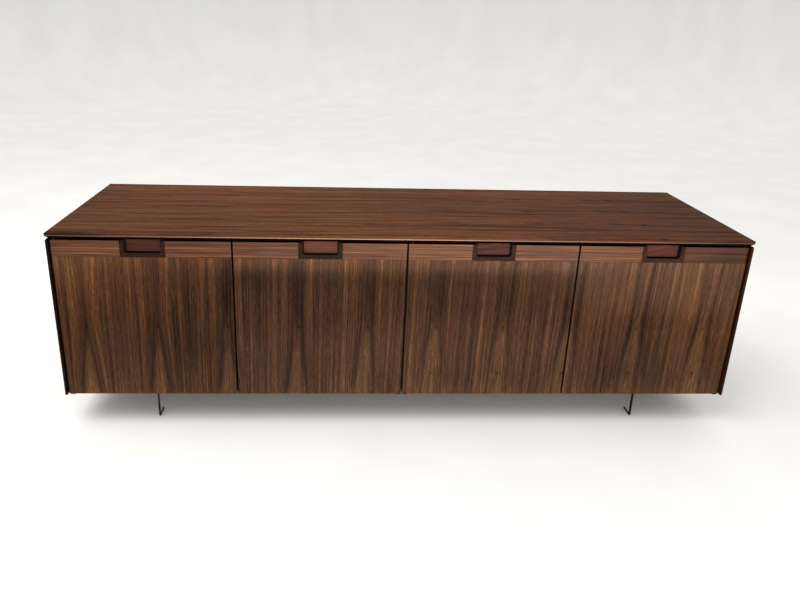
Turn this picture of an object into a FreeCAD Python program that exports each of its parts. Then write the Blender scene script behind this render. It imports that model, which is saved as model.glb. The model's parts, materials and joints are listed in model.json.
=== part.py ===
"""Four-door walnut office credenza on thin steel legs, as a parametric FreeCAD document.

Millimetres. +X runs to the right along the front, +Y to the back, +Z up. The origin is on the
floor under the middle of the cabinet. Every driving size is a cell of the Sizes sheet, and each
sub-part is bound to those cells by expressions. Each sub-part is written to parts/LABEL.step.
"""
import FreeCAD, Part
import os
import Sketcher

# ---------------------------------------------------------------------------------------------
# Driving sizes: alias, millimetres, meaning
# ---------------------------------------------------------------------------------------------
SIZES = (
    ("overall_width", 1829, "top panel, end to end"),
    ("overall_depth", 508, "top panel, front to back"),
    ("overall_height", 559, "floor to the upper face of the top"),
    ("leg_height", 93.5, "floor to the underside of the cabinet"),
    ("top_thickness", 14, "top panel"),
    ("nose_height", 7.5, "square edge of the top, above its undercut bevel"),
    ("top_easing", 1, "eased upper edges of the top"),
    ("end_thickness", 6, "end panels, which stand proud of the doors"),
    ("end_chamfer", 5, "outer upper edge of an end panel"),
    ("end_lift", 3.5, "underside of the cabinet to the lower edge of the end panels"),
    ("door_setback", 9, "front edges of top and ends to the door faces"),
    ("door_thickness", 20, "door boards"),
    ("door_gap", 3, "gap between two doors"),
    ("outer_extra", 4, "what the outer doors are wider than the inner ones"),
    ("end_gap", 1.5, "gap between an outer door and its end panel"),
    ("door_lift", 2, "underside of the cabinet to the lower edge of the doors"),
    ("top_reveal", 6, "upper edge of the doors to the top"),
    ("door_back_gap", 3, "back of the doors to the carcass edges"),
    ("door_chamfer", 1, "eased front edges of the doors"),
    ("rail_height", 45, "horizontal-grain strip along the head of a door"),
    ("board_thickness", 18, "carcass boards and shelves"),
    ("back_thickness", 12, "back panel"),
    ("pull_width", 114.5, "outside of the pull surround"),
    ("pull_opening", 92, "clear width of the pull surround"),
    ("pull_bar", 10.5, "height of the lower bar of the surround"),
    ("pull_corner", 8, "inner lower corners of the surround"),
    ("pull_lip", 5, "depth of the surround's lip at the door face"),
    ("pull_wall", 4, "wall of the surround behind its lip"),
    ("plate_thickness", 4, "back plate of the finger recess"),
    ("field_thickness", 3, "raised field on the back plate"),
    ("field_gap", 2.5, "raised field to the sides of the opening"),
    ("field_drop", 3.5, "lower edge of the field below the opening's lower edge"),
    ("plate_drop", 1, "upper edge of the back plate below the door's upper edge"),
    ("pivot_inset", 9, "hinge axis from the hinge edge of the door"),
    ("pivot_setback", 5.5, "hinge axis behind the door face"),
    ("pivot_leaf", 1.5, "thickness of a pivot plate"),
    ("pivot_plate_width", 15, "width of a pivot plate"),
    ("pivot_nose", 4, "pivot plate in front of the hinge axis"),
    ("pivot_round", 3, "front corners of a pivot plate"),
    ("pivot_tail", 42, "part of a pivot plate let into the carcass"),
    ("pin_radius", 2, "hinge pin"),
    ("pin_clearance", 0.05, "hinge pin in its bush"),
    ("pin_reach", 12, "hinge pin inside the door"),
    ("bush_radius", 3.5, "brass bush"),
    ("bush_flange_radius", 4.5, "flange of the bush"),
    ("bush_flange", 0.4, "thickness of that flange"),
    ("bush_depth", 14, "bush hole in the door"),
    ("shelf_height", 320, "floor to the underside of the shelves"),
    ("shelf_setback", 30, "front edge of a shelf behind the carcass front"),
    ("shelf_end_gap", 1, "shelf ends and back to the boards beside them"),
    ("peg_radius", 2.5, "shelf peg"),
    ("peg_bore", 8, "shelf peg inside its board"),
    ("peg_reach", 10, "shelf peg under the shelf"),
    ("peg_inset", 60, "pegs from the front and back edges of a shelf"),
    ("seat_clearance", 0.1, "loose shelf above its pegs"),
    ("leg_inset", 234.5, "leg centre from the end of the top"),
    ("leg_setback", 35.5, "front of a leg behind the door faces"),
    ("leg_blade", 3, "thickness of the leg steel"),
    ("leg_depth", 8, "upright of a leg, front to back"),
    ("leg_bend", 3, "outside radius where the upright meets the foot"),
    ("foot_length", 42, "foot of a leg, front to back"),
    ("foot_height", 3, "steel of the foot"),
    ("pad_height", 1.5, "glide pad under the foot"),
    ("leg_plate_width", 60, "mounting plate of a leg, along X"),
    ("leg_plate_length", 80, "mounting plate of a leg, along Y"),
    ("leg_plate_edge", 10, "screw centres from the edges of that plate"),
    ("leg_plate_corner", 5, "corners of that plate"),
    ("catch_width", 32, "magnetic catch, along X"),
    ("catch_height", 8, "magnetic catch under the sub-top"),
    ("catch_depth", 18, "magnetic catch, front to back"),
    ("catch_offset", 30, "catch centre from the middle of the pair's gap"),
    ("catch_gap", 0.3, "closed door to its catch or bumper"),
    ("strike_radius", 7, "disc of the strike on the back of a door"),
    ("strike_thickness", 1, "disc of the strike"),
    ("strike_stud", 10, "stud of the strike inside the door"),
    ("bumper_radius", 4, "soft bumper on the carcass edge"),
    ("screw_radius", 2, "shank of a wood screw"),
    ("screw_head_radius", 4, "head of a wood screw"),
    ("screw_head_height", 2, "head of a wood screw"),
    ("small_screw_radius", 1.5, "shank of a small screw"),
    ("small_head_radius", 2.8, "head of a small screw"),
    ("small_head_height", 1.3, "head of a small screw"),
    ("long_screw", 50, "screws that join the carcass boards"),
    ("top_bite", 10, "bite of the top screws in the top"),
    ("end_bite", 4, "bite of the end-panel screws in the panel"),
    ("back_bite", 28, "bite of the back screws in the carcass"),
    ("leg_bite", 14, "bite of the leg screws in the bottom"),
    ("small_bite", 12, "bite of the small screws in wood"),
    ("row_inset", 55, "outer screw rows from the front and back of the carcass"),
)

# ---------------------------------------------------------------------------------------------
# Derived places, as expressions on the sheet
# ---------------------------------------------------------------------------------------------
HALF_WIDTH = "(Sizes.overall_width / 2)"
FRONT = "(-Sizes.overall_depth / 2)"
BACK = "(Sizes.overall_depth / 2)"
BASE = "Sizes.leg_height"
UNDER_TOP = "(Sizes.overall_height - Sizes.top_thickness)"
TOP_BEVEL = "(Sizes.top_thickness - Sizes.nose_height)"
SIDE_OUTER = f"({HALF_WIDTH} - Sizes.end_thickness)"
SIDE_INNER = f"({SIDE_OUTER} - Sizes.board_thickness)"
DOOR_FACE = f"({FRONT} + Sizes.door_setback)"
DOOR_REAR = f"({DOOR_FACE} + Sizes.door_thickness)"
CARCASS_FRONT = f"({DOOR_REAR} + Sizes.door_back_gap)"
CARCASS_BACK = f"({BACK} - Sizes.back_thickness)"
FLOOR_TOP = f"({BASE} + Sizes.board_thickness)"
CEILING = f"({UNDER_TOP} - Sizes.board_thickness)"
PARTITION = "(Sizes.board_thickness / 2)"
DOOR_LOW = f"({BASE} + Sizes.door_lift)"
DOOR_HIGH = f"({UNDER_TOP} - Sizes.top_reveal)"
RAIL_LOW = f"({DOOR_HIGH} - Sizes.rail_height)"
DOOR_WIDTH = f"(({SIDE_OUTER} - Sizes.end_gap - Sizes.outer_extra) / 2 - Sizes.door_gap * 3 / 4)"
DOOR_PITCH = f"({DOOR_WIDTH} + Sizes.door_gap)"
PIVOT_Y = f"({DOOR_FACE} + Sizes.pivot_setback)"
PIVOT_OUTER = f"({SIDE_OUTER} - Sizes.end_gap - Sizes.pivot_inset)"
PIVOT_INNER = "(Sizes.door_gap / 2 + Sizes.pivot_inset)"
LEG_X = f"({HALF_WIDTH} - Sizes.leg_inset)"
LEG_FRONT = f"({DOOR_FACE} + Sizes.leg_setback)"
SHELF_FRONT = f"({CARCASS_FRONT} + Sizes.shelf_setback)"
SHELF_BACK = f"({CARCASS_BACK} - Sizes.shelf_end_gap)"
ROW_FRONT = f"({CARCASS_FRONT} + Sizes.row_inset)"
ROW_BACK = f"({CARCASS_BACK} - Sizes.row_inset)"
ROW_MIDDLE = f"(({CARCASS_FRONT} + {CARCASS_BACK}) / 2)"

SIDES = (("left", -1), ("right", 1))
ENDS = (("front", 1), ("rear", -1))
DOORS = (1, 2, 3, 4)
HINGE_SIDE = {1: "left", 2: "right", 3: "left", 4: "right"}

DIRECTIONS = {
    "+X": FreeCAD.Vector(1, 0, 0),
    "-X": FreeCAD.Vector(-1, 0, 0),
    "+Y": FreeCAD.Vector(0, 1, 0),
    "-Y": FreeCAD.Vector(0, -1, 0),
    "+Z": FreeCAD.Vector(0, 0, 1),
    "-Z": FreeCAD.Vector(0, 0, -1),
}
ORIGIN = ("0", "0", "0")
TOLERANCE = 1e-4


# ---------------------------------------------------------------------------------------------
# Document helpers
# ---------------------------------------------------------------------------------------------
def make_sheet(doc):
    """Write the driving sizes into the Sizes sheet, one alias a row."""
    sheet = doc.addObject("Spreadsheet::Sheet", "Sizes")
    for row, (alias, value, meaning) in enumerate(SIZES, start=1):
        sheet.set(f"A{row}", meaning)
        sheet.set(f"B{row}", str(value))
        sheet.setAlias(f"B{row}", alias)
    doc.recompute()
    return sheet


def value_of(doc, expression):
    """Number that an expression on the sheet has now."""
    result = doc.Sizes.evalExpression(expression.replace("Sizes.", ""))
    return float(getattr(result, "Value", result))


def negated(expression):
    """Expression with the other sign."""
    return f"(-({expression}))"


def signed(sign, expression):
    """Expression times a sign of 1 or -1."""
    return expression if sign > 0 else negated(expression)


def place(item, position):
    """Bind an object's position to three expressions."""
    for axis, expression in zip("xyz", position):
        item.setExpression(f"Placement.Base.{axis}", expression)


def new_body(doc, label, position=ORIGIN):
    """Empty PartDesign body at a position."""
    body = doc.addObject("PartDesign::Body", label)
    body.Label = label
    place(body, position)
    return body


def new_sketch(body, name, role, offset="0"):
    """Sketch on one of the body's own origin planes, moved along the plane's normal."""
    sketch = body.newObject("Sketcher::SketchObject", name)
    planes = [item for item in body.Origin.OriginFeatures if item.Role == role]
    sketch.AttachmentSupport = [(planes[0], "")]
    sketch.MapMode = "FlatFace"
    sketch.setExpression("AttachmentOffset.Base.z", offset)
    return sketch


def bind(sketch, kind, geometry, point, expression, number):
    """Fix one coordinate of a sketch point to an expression."""
    index = sketch.addConstraint(Sketcher.Constraint(kind, -1, 1, geometry, point, number))
    sketch.setExpression(f"Constraints[{index}]", expression)


def draw_outline(sketch, points):
    """Closed outline of straight edges; each corner is a pair of expressions."""
    doc = sketch.Document
    numbers = [(value_of(doc, across), value_of(doc, up)) for across, up in points]
    corners = [FreeCAD.Vector(across, up, 0) for across, up in numbers]
    first = sketch.GeometryCount
    count = len(corners)
    for index in range(count):
        line = Part.LineSegment(corners[index], corners[(index + 1) % count])
        sketch.addGeometry(line, False)
    for index in range(count):
        following = first + (index + 1) % count
        sketch.addConstraint(Sketcher.Constraint("Coincident", first + index, 2, following, 1))
    for index, (across, up) in enumerate(points):
        bind(sketch, "DistanceX", first + index, 1, across, numbers[index][0])
        bind(sketch, "DistanceY", first + index, 1, up, numbers[index][1])


def rectangle(width, height, left="0", low="0"):
    """Corners of a rectangle, as expressions."""
    right = f"({left}) + ({width})"
    high = f"({low}) + ({height})"
    return [(left, low), (right, low), (right, high), (left, high)]


def pad(body, sketch, length, backwards=False):
    """Pad a sketch and make it the body's tip."""
    feature = body.newObject("PartDesign::Pad", sketch.Name + "_pad")
    feature.Profile = sketch
    feature.setExpression("Length", length)
    feature.Reversed = backwards
    body.Tip = feature
    body.Document.recompute()
    return feature


def pocket(body, sketch, length, backwards=False):
    """Pocket a sketch, and stop if it took nothing away."""
    before = body.Shape.Volume
    feature = body.newObject("PartDesign::Pocket", sketch.Name + "_pocket")
    feature.Profile = sketch
    feature.setExpression("Length", length)
    feature.Reversed = backwards
    body.Tip = feature
    body.Document.recompute()
    if body.Shape.Volume >= before:
        raise RuntimeError(f"{body.Label}: the pocket {feature.Name} cuts nothing")
    return feature


def edges_at(feature, lines):
    """Names of the edges that run along the given lines.

    A line is three expressions with None for the coordinate along which the edge runs.
    """
    doc = feature.Document
    wanted = []
    for line in lines:
        wanted.append([None if item is None else value_of(doc, item) for item in line])
    names = []
    for number, edge in enumerate(feature.Shape.Edges, start=1):
        ends = [vertex.Point for vertex in edge.Vertexes]
        for line in wanted:
            fixed = [axis for axis in range(3) if line[axis] is not None]
            offsets = [abs(end[axis] - line[axis]) for end in ends for axis in fixed]
            if len(ends) == 2 and max(offsets) < TOLERANCE:
                names.append(f"Edge{number}")
    if len(names) < len(lines):
        raise RuntimeError(f"{feature.Label}: an edge to dress was not found")
    return names


def chamfer(body, lines, size):
    """Chamfer the edges along the given lines of the body's tip."""
    base = body.Tip
    feature = body.newObject("PartDesign::Chamfer", body.Name + "_chamfer")
    feature.Base = (base, edges_at(base, lines))
    feature.setExpression("Size", size)
    body.Tip = feature
    body.Document.recompute()
    return feature


def fillet(body, lines, radius):
    """Fillet the edges along the given lines of the body's tip."""
    base = body.Tip
    feature = body.newObject("PartDesign::Fillet", body.Name + "_fillet")
    feature.Base = (base, edges_at(base, lines))
    feature.setExpression("Radius", radius)
    body.Tip = feature
    body.Document.recompute()
    return feature


def board(doc, label, low, high):
    """Plain rectangular board between two corners, each three expressions."""
    width, depth, thickness = (f"({top}) - ({bottom})" for top, bottom in zip(high, low))
    body = new_body(doc, label, low)
    outline = new_sketch(body, label + "_outline", "XY_Plane")
    draw_outline(outline, rectangle(width, depth))
    pad(body, outline, thickness)
    return body


def rod(doc, name, start, direction, radius, length):
    """Cylinder that starts at a point and runs along one row axis."""
    item = doc.addObject("Part::Cylinder", name)
    item.setExpression("Radius", radius)
    item.setExpression("Height", length)
    item.Placement.Rotation = FreeCAD.Rotation(DIRECTIONS["+Z"], DIRECTIONS[direction])
    place(item, start)
    return item


def shifted(start, direction, distance):
    """Point moved along one row axis by an expression."""
    moved = list(start)
    axis = "XYZ".index(direction[1])
    moved[axis] = f"({start[axis]}) {direction[0]} ({distance})"
    return tuple(moved)


def group(doc, label, items):
    """Compound of separate solids, kept as one sub-part."""
    compound = doc.addObject("Part::Compound", label)
    compound.Label = label
    compound.Links = items
    return compound


def cut(doc, label, base, tools):
    """Base with the tools taken out of it."""
    item = doc.addObject("Part::Cut", label)
    item.Label = label
    item.Base = base
    item.Tool = tools[0] if len(tools) == 1 else group(doc, label + "_tools", tools)
    return item


def flat_head_screw(doc, name, start, direction, length, size="screw"):
    """Countersunk screw whose head is flush at its start point."""
    shank = "Sizes.screw_radius"
    head = "Sizes.screw_head_radius"
    height = "Sizes.screw_head_height"
    if size == "small":
        shank = "Sizes.small_screw_radius"
        head = "Sizes.small_head_radius"
        height = "Sizes.small_head_height"
    cone = doc.addObject("Part::Cone", name + "_head")
    cone.setExpression("Radius1", head)
    cone.setExpression("Radius2", shank)
    cone.setExpression("Height", height)
    cone.Placement.Rotation = FreeCAD.Rotation(DIRECTIONS["+Z"], DIRECTIONS[direction])
    place(cone, start)
    below = shifted(start, direction, height)
    stem = rod(doc, name + "_shank", below, direction, shank, f"({length}) - ({height})")
    screw = doc.addObject("Part::Fuse", name)
    screw.Base = cone
    screw.Tool = stem
    return screw


def pan_head_screw(doc, name, seat, direction, length):
    """Screw whose head stands on the seat and whose shank runs past it."""
    above = shifted(seat, direction, "-Sizes.screw_head_height")
    head = rod(doc, name + "_head", above, direction, "Sizes.screw_head_radius", "Sizes.screw_head_height")
    stem = rod(doc, name + "_shank", seat, direction, "Sizes.screw_radius", length)
    screw = doc.addObject("Part::Fuse", name)
    screw.Base = head
    screw.Tool = stem
    return screw


# ---------------------------------------------------------------------------------------------
# Fasteners of the case
# ---------------------------------------------------------------------------------------------
def make_carcass_screws(doc):
    """Long screws through the sides and through bottom and sub-top into their neighbours."""
    middle_low = f"({BASE} + Sizes.board_thickness / 2)"
    middle_high = f"({UNDER_TOP} - Sizes.board_thickness / 2)"
    screws = []
    for row, depth in enumerate((ROW_FRONT, ROW_MIDDLE, ROW_BACK)):
        for name, sign in SIDES:
            direction = "-X" if sign > 0 else "+X"
            outer = signed(sign, SIDE_OUTER)
            for level, height in (("low", middle_low), ("high", middle_high)):
                label = f"carcass_screw_{name}_{level}_{row}"
                start = (outer, depth, height)
                screws.append(flat_head_screw(doc, label, start, direction, "Sizes.long_screw"))
        rising = (("0", depth, BASE), "+Z", "rising")
        falling = (("0", depth, UNDER_TOP), "-Z", "falling")
        for start, direction, name in (rising, falling):
            label = f"carcass_screw_{name}_{row}"
            screws.append(flat_head_screw(doc, label, start, direction, "Sizes.long_screw"))
    return group(doc, "carcass_screws", screws)


def make_end_panel_screws(doc):
    """Screws from inside the case, through its sides and into the end panels."""
    length = "Sizes.board_thickness + Sizes.end_bite"
    low = f"({BASE} + Sizes.row_inset)"
    high = f"({UNDER_TOP} - Sizes.row_inset)"
    screws = []
    for name, sign in SIDES:
        direction = "+X" if sign > 0 else "-X"
        for row, depth in enumerate((ROW_FRONT, ROW_BACK)):
            for level, height in (("low", low), ("high", high)):
                start = (signed(sign, SIDE_INNER), depth, height)
                label = f"end_screw_{name}_{level}_{row}"
                screws.append(flat_head_screw(doc, label, start, direction, length))
    return group(doc, "end_panel_screws", screws)


def make_top_screws(doc):
    """Screws up through the sub-top into the top panel."""
    length = "Sizes.board_thickness + Sizes.top_bite"
    outer = f"({SIDE_INNER} - Sizes.row_inset)"
    inner = "Sizes.row_inset"
    screws = []
    for name, sign in SIDES:
        for place_name, across in (("outer", outer), ("inner", inner)):
            for row, depth in enumerate((ROW_FRONT, ROW_BACK)):
                start = (signed(sign, across), depth, CEILING)
                label = f"top_screw_{name}_{place_name}_{row}"
                screws.append(flat_head_screw(doc, label, start, "+Z", length))
    return group(doc, "top_screws", screws)


def make_back_screws(doc):
    """Screws through the back panel into sides, partition, bottom and sub-top."""
    length = "Sizes.back_thickness + Sizes.back_bite"
    middle_low = f"({BASE} + Sizes.board_thickness / 2)"
    middle_high = f"({UNDER_TOP} - Sizes.board_thickness / 2)"
    centre = f"(({BASE} + {UNDER_TOP}) / 2)"
    side = f"(({SIDE_OUTER} + {SIDE_INNER}) / 2)"
    half_bay = f"({SIDE_INNER} / 2)"
    spots = [("middle", "0", centre)]
    for name, sign in SIDES:
        spots.append((f"{name}_side", signed(sign, side), centre))
        spots.append((f"{name}_low", signed(sign, half_bay), middle_low))
        spots.append((f"{name}_high", signed(sign, half_bay), middle_high))
    screws = []
    for name, across, height in spots:
        start = (across, BACK, height)
        screws.append(flat_head_screw(doc, f"back_screw_{name}", start, "-Y", length))
    return group(doc, "back_screws", screws)


def make_shelf_pegs(doc):
    """Steel pegs in the sides and the partition, under both shelves."""
    front = f"({SHELF_FRONT} + Sizes.peg_inset)"
    back = f"({SHELF_BACK} - Sizes.peg_inset)"
    height = "(Sizes.shelf_height - Sizes.peg_radius - Sizes.seat_clearance)"
    outer = f"({SIDE_INNER} + Sizes.peg_bore)"
    inner = f"({PARTITION} - Sizes.peg_bore)"
    length = "Sizes.peg_bore + Sizes.peg_reach"
    pegs = []
    for name, sign in SIDES:
        outward = "+X" if sign > 0 else "-X"
        inward = "-X" if sign > 0 else "+X"
        for row, depth in (("front", front), ("back", back)):
            start = (signed(sign, outer), depth, height)
            pegs.append(rod(doc, f"peg_{name}_{row}_outer", start, inward, "Sizes.peg_radius", length))
            start = (signed(sign, inner), depth, height)
            pegs.append(rod(doc, f"peg_{name}_{row}_inner", start, outward, "Sizes.peg_radius", length))
    return group(doc, "shelf_pegs", pegs)


# ---------------------------------------------------------------------------------------------
# Hinges: a flat pivot plate let into the carcass, a pin fixed in it and a bush in the door
# ---------------------------------------------------------------------------------------------
def pivot_x(number):
    """Expression for the hinge axis of a door, counted from the left."""
    return {
        1: negated(PIVOT_OUTER),
        2: negated(PIVOT_INNER),
        3: PIVOT_INNER,
        4: PIVOT_OUTER,
    }[number]


def make_pivot_plate(doc, number, level, height):
    """Flat plate with a rounded nose in front of the hinge axis."""
    width = "Sizes.pivot_plate_width"
    front = f"({PIVOT_Y} - Sizes.pivot_nose)"
    length = f"({CARCASS_FRONT} + Sizes.pivot_tail - {front})"
    corner = (f"{pivot_x(number)} - {width} / 2", front, height)
    body = new_body(doc, f"pivot_plate_{level}_{number}", corner)
    outline = new_sketch(body, f"pivot_outline_{level}_{number}", "XY_Plane")
    draw_outline(outline, rectangle(width, length))
    pad(body, outline, "Sizes.pivot_leaf")
    fillet(body, [("0", "0", None), (width, "0", None)], "Sizes.pivot_round")
    return body


def make_pivots(doc):
    """Pivot plates, their pins and their screws, below and above the doors."""
    levels = {
        "lower": (BASE, BASE, "+Z", "Sizes.door_lift"),
        "upper": (f"({UNDER_TOP} - Sizes.pivot_leaf)", UNDER_TOP, "-Z", "Sizes.top_reveal"),
    }
    screw_rows = [f"({CARCASS_FRONT} + Sizes.pivot_tail * {share} / 4)" for share in (1, 3)]
    raw_plates = {}
    pins = []
    screws = []
    for level, (height, outer, way, door_space) in levels.items():
        reach = f"{door_space} + Sizes.pin_reach"
        raw_plates[level] = [make_pivot_plate(doc, number, level, height) for number in DOORS]
        for number in DOORS:
            start = (pivot_x(number), PIVOT_Y, outer)
            name = f"pin_{level}_{number}"
            pins.append(rod(doc, name, start, way, "Sizes.pin_radius", reach))
            for row, depth in enumerate(screw_rows):
                head = (pivot_x(number), depth, outer)
                name = f"pivot_screw_{level}_{number}_{row}"
                length = "Sizes.pivot_leaf + Sizes.small_bite"
                screws.append(flat_head_screw(doc, name, head, way, length, size="small"))
    pin_group = group(doc, "pivot_pins", pins)
    screw_group = group(doc, "pivot_screws", screws)
    mortises = []
    for level, plates in raw_plates.items():
        blanks = group(doc, f"pivot_plate_blanks_{level}", plates)
        mortises.append(blanks)
        cut(doc, f"pivot_plates_{level}", blanks, [pin_group, screw_group])
    return mortises, screw_group


# ---------------------------------------------------------------------------------------------
# Case
# ---------------------------------------------------------------------------------------------
def make_top(doc, top_screws):
    """Top panel with a square nose and a 45 degree undercut on the front and both ends."""
    width = "Sizes.overall_width"
    depth = "Sizes.overall_depth"
    low = (negated(HALF_WIDTH), FRONT, UNDER_TOP)
    body = board(doc, "top_blank", low, (HALF_WIDTH, BACK, "Sizes.overall_height"))
    chamfer(body, [(None, "0", "0"), ("0", None, "0"), (width, None, "0")], TOP_BEVEL)
    upper = "Sizes.top_thickness"
    fillet(body, [(None, "0", upper), (None, depth, upper)], "Sizes.top_easing")
    return cut(doc, "top_panel", body, [top_screws])


def make_end_panels(doc, end_screws):
    """Thin end panels, proud of the doors, with a chamfer under the top's bevel."""
    low = f"({BASE} + Sizes.end_lift)"
    high = f"{UNDER_TOP} - {low}"
    for name, sign in SIDES:
        inner = signed(sign, SIDE_OUTER)
        outer = signed(sign, HALF_WIDTH)
        left, right = (inner, outer) if sign > 0 else (outer, inner)
        body = board(doc, f"end_blank_{name}", (left, FRONT, low), (right, BACK, UNDER_TOP))
        outside = "Sizes.end_thickness" if sign > 0 else "0"
        chamfer(body, [(outside, None, high)], "Sizes.end_chamfer")
        cut(doc, f"end_panel_{name}", body, [end_screws])


def make_case_boards(doc, fasteners, mortises):
    """Sides, bottom, sub-top, partition and back, each drilled for what it holds."""
    outer = SIDE_OUTER
    inner = SIDE_INNER
    sets = {
        "bottom_board": (
            (negated(inner), CARCASS_FRONT, BASE),
            (inner, CARCASS_BACK, FLOOR_TOP),
            ("carcass", "back", "pivot", "leg"),
        ),
        "sub_top_board": (
            (negated(inner), CARCASS_FRONT, CEILING),
            (inner, CARCASS_BACK, UNDER_TOP),
            ("carcass", "back", "pivot", "top", "catch"),
        ),
        "centre_partition": (
            (negated(PARTITION), CARCASS_FRONT, FLOOR_TOP),
            (PARTITION, CARCASS_BACK, CEILING),
            ("carcass", "back", "peg"),
        ),
        "case_side_left": (
            (negated(outer), CARCASS_FRONT, BASE),
            (negated(inner), CARCASS_BACK, UNDER_TOP),
            ("carcass", "back", "pivot", "end", "peg"),
        ),
        "case_side_right": (
            (inner, CARCASS_FRONT, BASE),
            (outer, CARCASS_BACK, UNDER_TOP),
            ("carcass", "back", "pivot", "end", "peg"),
        ),
        "back_panel": (
            (negated(outer), CARCASS_BACK, BASE),
            (outer, BACK, UNDER_TOP),
            ("back",),
        ),
    }
    for label, (low, high, names) in sets.items():
        blank = board(doc, label + "_blank", low, high)
        tools = [fasteners[name] for name in names]
        if "pivot" in names:
            tools += mortises
        cut(doc, label, blank, tools)


def make_shelves(doc):
    """Loose shelf in each bay."""
    gap = "Sizes.shelf_end_gap"
    for name, sign in SIDES:
        far = signed(sign, f"({SIDE_INNER} - {gap})")
        near = signed(sign, f"({PARTITION} + {gap})")
        left, right = (near, far) if sign > 0 else (far, near)
        low = (left, SHELF_FRONT, "Sizes.shelf_height")
        high = (right, SHELF_BACK, "Sizes.shelf_height + Sizes.board_thickness")
        board(doc, f"shelf_{name}", low, high)


# ---------------------------------------------------------------------------------------------
# Legs
# ---------------------------------------------------------------------------------------------
def make_leg_blank(doc, label, facing, sign):
    """Steel leg: a narrow upright, a short foot that returns under the cabinet and a plate."""
    blade = "Sizes.leg_blade"
    plate_low = "Sizes.leg_height - Sizes.leg_blade"
    corner = (f"{signed(sign, LEG_X)} - {blade} / 2", signed(facing, LEG_FRONT), "0")
    body = new_body(doc, label + "_blank", corner)
    profile = new_sketch(body, label + "_profile", "YZ_Plane")
    upright = signed(facing, "Sizes.leg_depth")
    foot = signed(facing, "Sizes.foot_length")
    foot_high = "Sizes.pad_height + Sizes.foot_height"
    draw_outline(profile, [
        ("0", "Sizes.pad_height"),
        (foot, "Sizes.pad_height"),
        (foot, foot_high),
        (upright, foot_high),
        (upright, "Sizes.leg_height"),
        ("0", "Sizes.leg_height"),
    ])
    pad(body, profile, blade)
    fillet(body, [(None, "0", "Sizes.pad_height")], "Sizes.leg_bend")
    plate = new_sketch(body, label + "_plate", "XY_Plane", plate_low)
    left = f"({blade} - Sizes.leg_plate_width) / 2"
    low = "0" if facing > 0 else "-Sizes.leg_plate_length"
    draw_outline(plate, rectangle("Sizes.leg_plate_width", "Sizes.leg_plate_length", left, low))
    pad(body, plate, blade)
    right = f"({blade} + Sizes.leg_plate_width) / 2"
    back = f"({low}) + Sizes.leg_plate_length"
    corners = [(left, low, None), (right, low, None), (left, back, None), (right, back, None)]
    fillet(body, corners, "Sizes.leg_plate_corner")
    return body


def make_leg_screws(doc):
    """Four pan-head screws a leg, up through its plate into the bottom board."""
    half = "(Sizes.leg_plate_width / 2 - Sizes.leg_plate_edge)"
    rows = ("Sizes.leg_plate_edge", "(Sizes.leg_plate_length - Sizes.leg_plate_edge)")
    seat = "(Sizes.leg_height - Sizes.leg_blade)"
    length = "Sizes.leg_blade + Sizes.leg_bite"
    screws = []
    for end, facing in ENDS:
        for name, sign in SIDES:
            for column, across in enumerate((negated(half), half)):
                for row, along in enumerate(rows):
                    depth = signed(facing, f"({LEG_FRONT} + {along})")
                    start = (f"{signed(sign, LEG_X)} + {across}", depth, seat)
                    label = f"leg_screw_{end}_{name}_{column}{row}"
                    screws.append(pan_head_screw(doc, label, start, "+Z", length))
    return group(doc, "leg_screws", screws)


def make_legs(doc, leg_screws):
    """Four legs, each drilled for its screws."""
    for end, facing in ENDS:
        for name, sign in SIDES:
            label = f"leg_{end}_{name}"
            blank = make_leg_blank(doc, label, facing, sign)
            cut(doc, label, blank, [leg_screws])


def make_glide_pads(doc):
    """Thin pad under each foot."""
    start = f"{LEG_FRONT} + Sizes.leg_bend"
    end = f"{LEG_FRONT} + Sizes.foot_length"
    pads = []
    for row, facing in ENDS:
        low, high = (start, end) if facing > 0 else (negated(end), negated(start))
        for name, sign in SIDES:
            left = f"{signed(sign, LEG_X)} - Sizes.leg_blade / 2"
            right = f"{signed(sign, LEG_X)} + Sizes.leg_blade / 2"
            corners = ((left, low, "0"), (right, high, "Sizes.pad_height"))
            pads.append(board(doc, f"glide_pad_{row}_{name}", *corners))
    group(doc, "glide_pads", pads)


# ---------------------------------------------------------------------------------------------
# Catches and bumpers, near the free edge of each door
# ---------------------------------------------------------------------------------------------
def catch_x(number):
    """Expression for the middle of a door's catch, strike and bumper."""
    gap_middle = signed(-1 if number < 3 else 1, DOOR_PITCH)
    towards = "-" if HINGE_SIDE[number] == "left" else "+"
    return f"({gap_middle} {towards} Sizes.catch_offset)"


def make_catches(doc):
    """Magnetic catches under the sub-top; returns their screw group."""
    front = f"({DOOR_REAR} + Sizes.strike_thickness + Sizes.catch_gap)"
    low = f"({CEILING} - Sizes.catch_height)"
    blanks = []
    screws = []
    for number in DOORS:
        left = f"{catch_x(number)} - Sizes.catch_width / 2"
        right = f"{catch_x(number)} + Sizes.catch_width / 2"
        corners = ((left, front, low), (right, f"{front} + Sizes.catch_depth", CEILING))
        blanks.append(board(doc, f"catch_blank_{number}", *corners))
        for column, towards in enumerate("-+"):
            across = f"{catch_x(number)} {towards} Sizes.catch_width / 4"
            start = (across, f"{front} + Sizes.catch_depth * 2 / 3", low)
            name = f"catch_screw_{number}_{column}"
            length = "Sizes.catch_height + Sizes.small_bite"
            screws.append(flat_head_screw(doc, name, start, "+Z", length, size="small"))
    screw_group = group(doc, "catch_screws", screws)
    cut(doc, "catches", group(doc, "catch_blanks", blanks), [screw_group])
    return screw_group


def make_bumpers(doc):
    """Soft dots on the front edge of the bottom board."""
    height = f"{BASE} + Sizes.board_thickness / 2"
    length = "Sizes.door_back_gap - Sizes.catch_gap"
    bumpers = []
    for number in DOORS:
        start = (catch_x(number), CARCASS_FRONT, height)
        bumpers.append(rod(doc, f"bumper_{number}", start, "-Y", "Sizes.bumper_radius", length))
    group(doc, "door_bumpers", bumpers)


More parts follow.
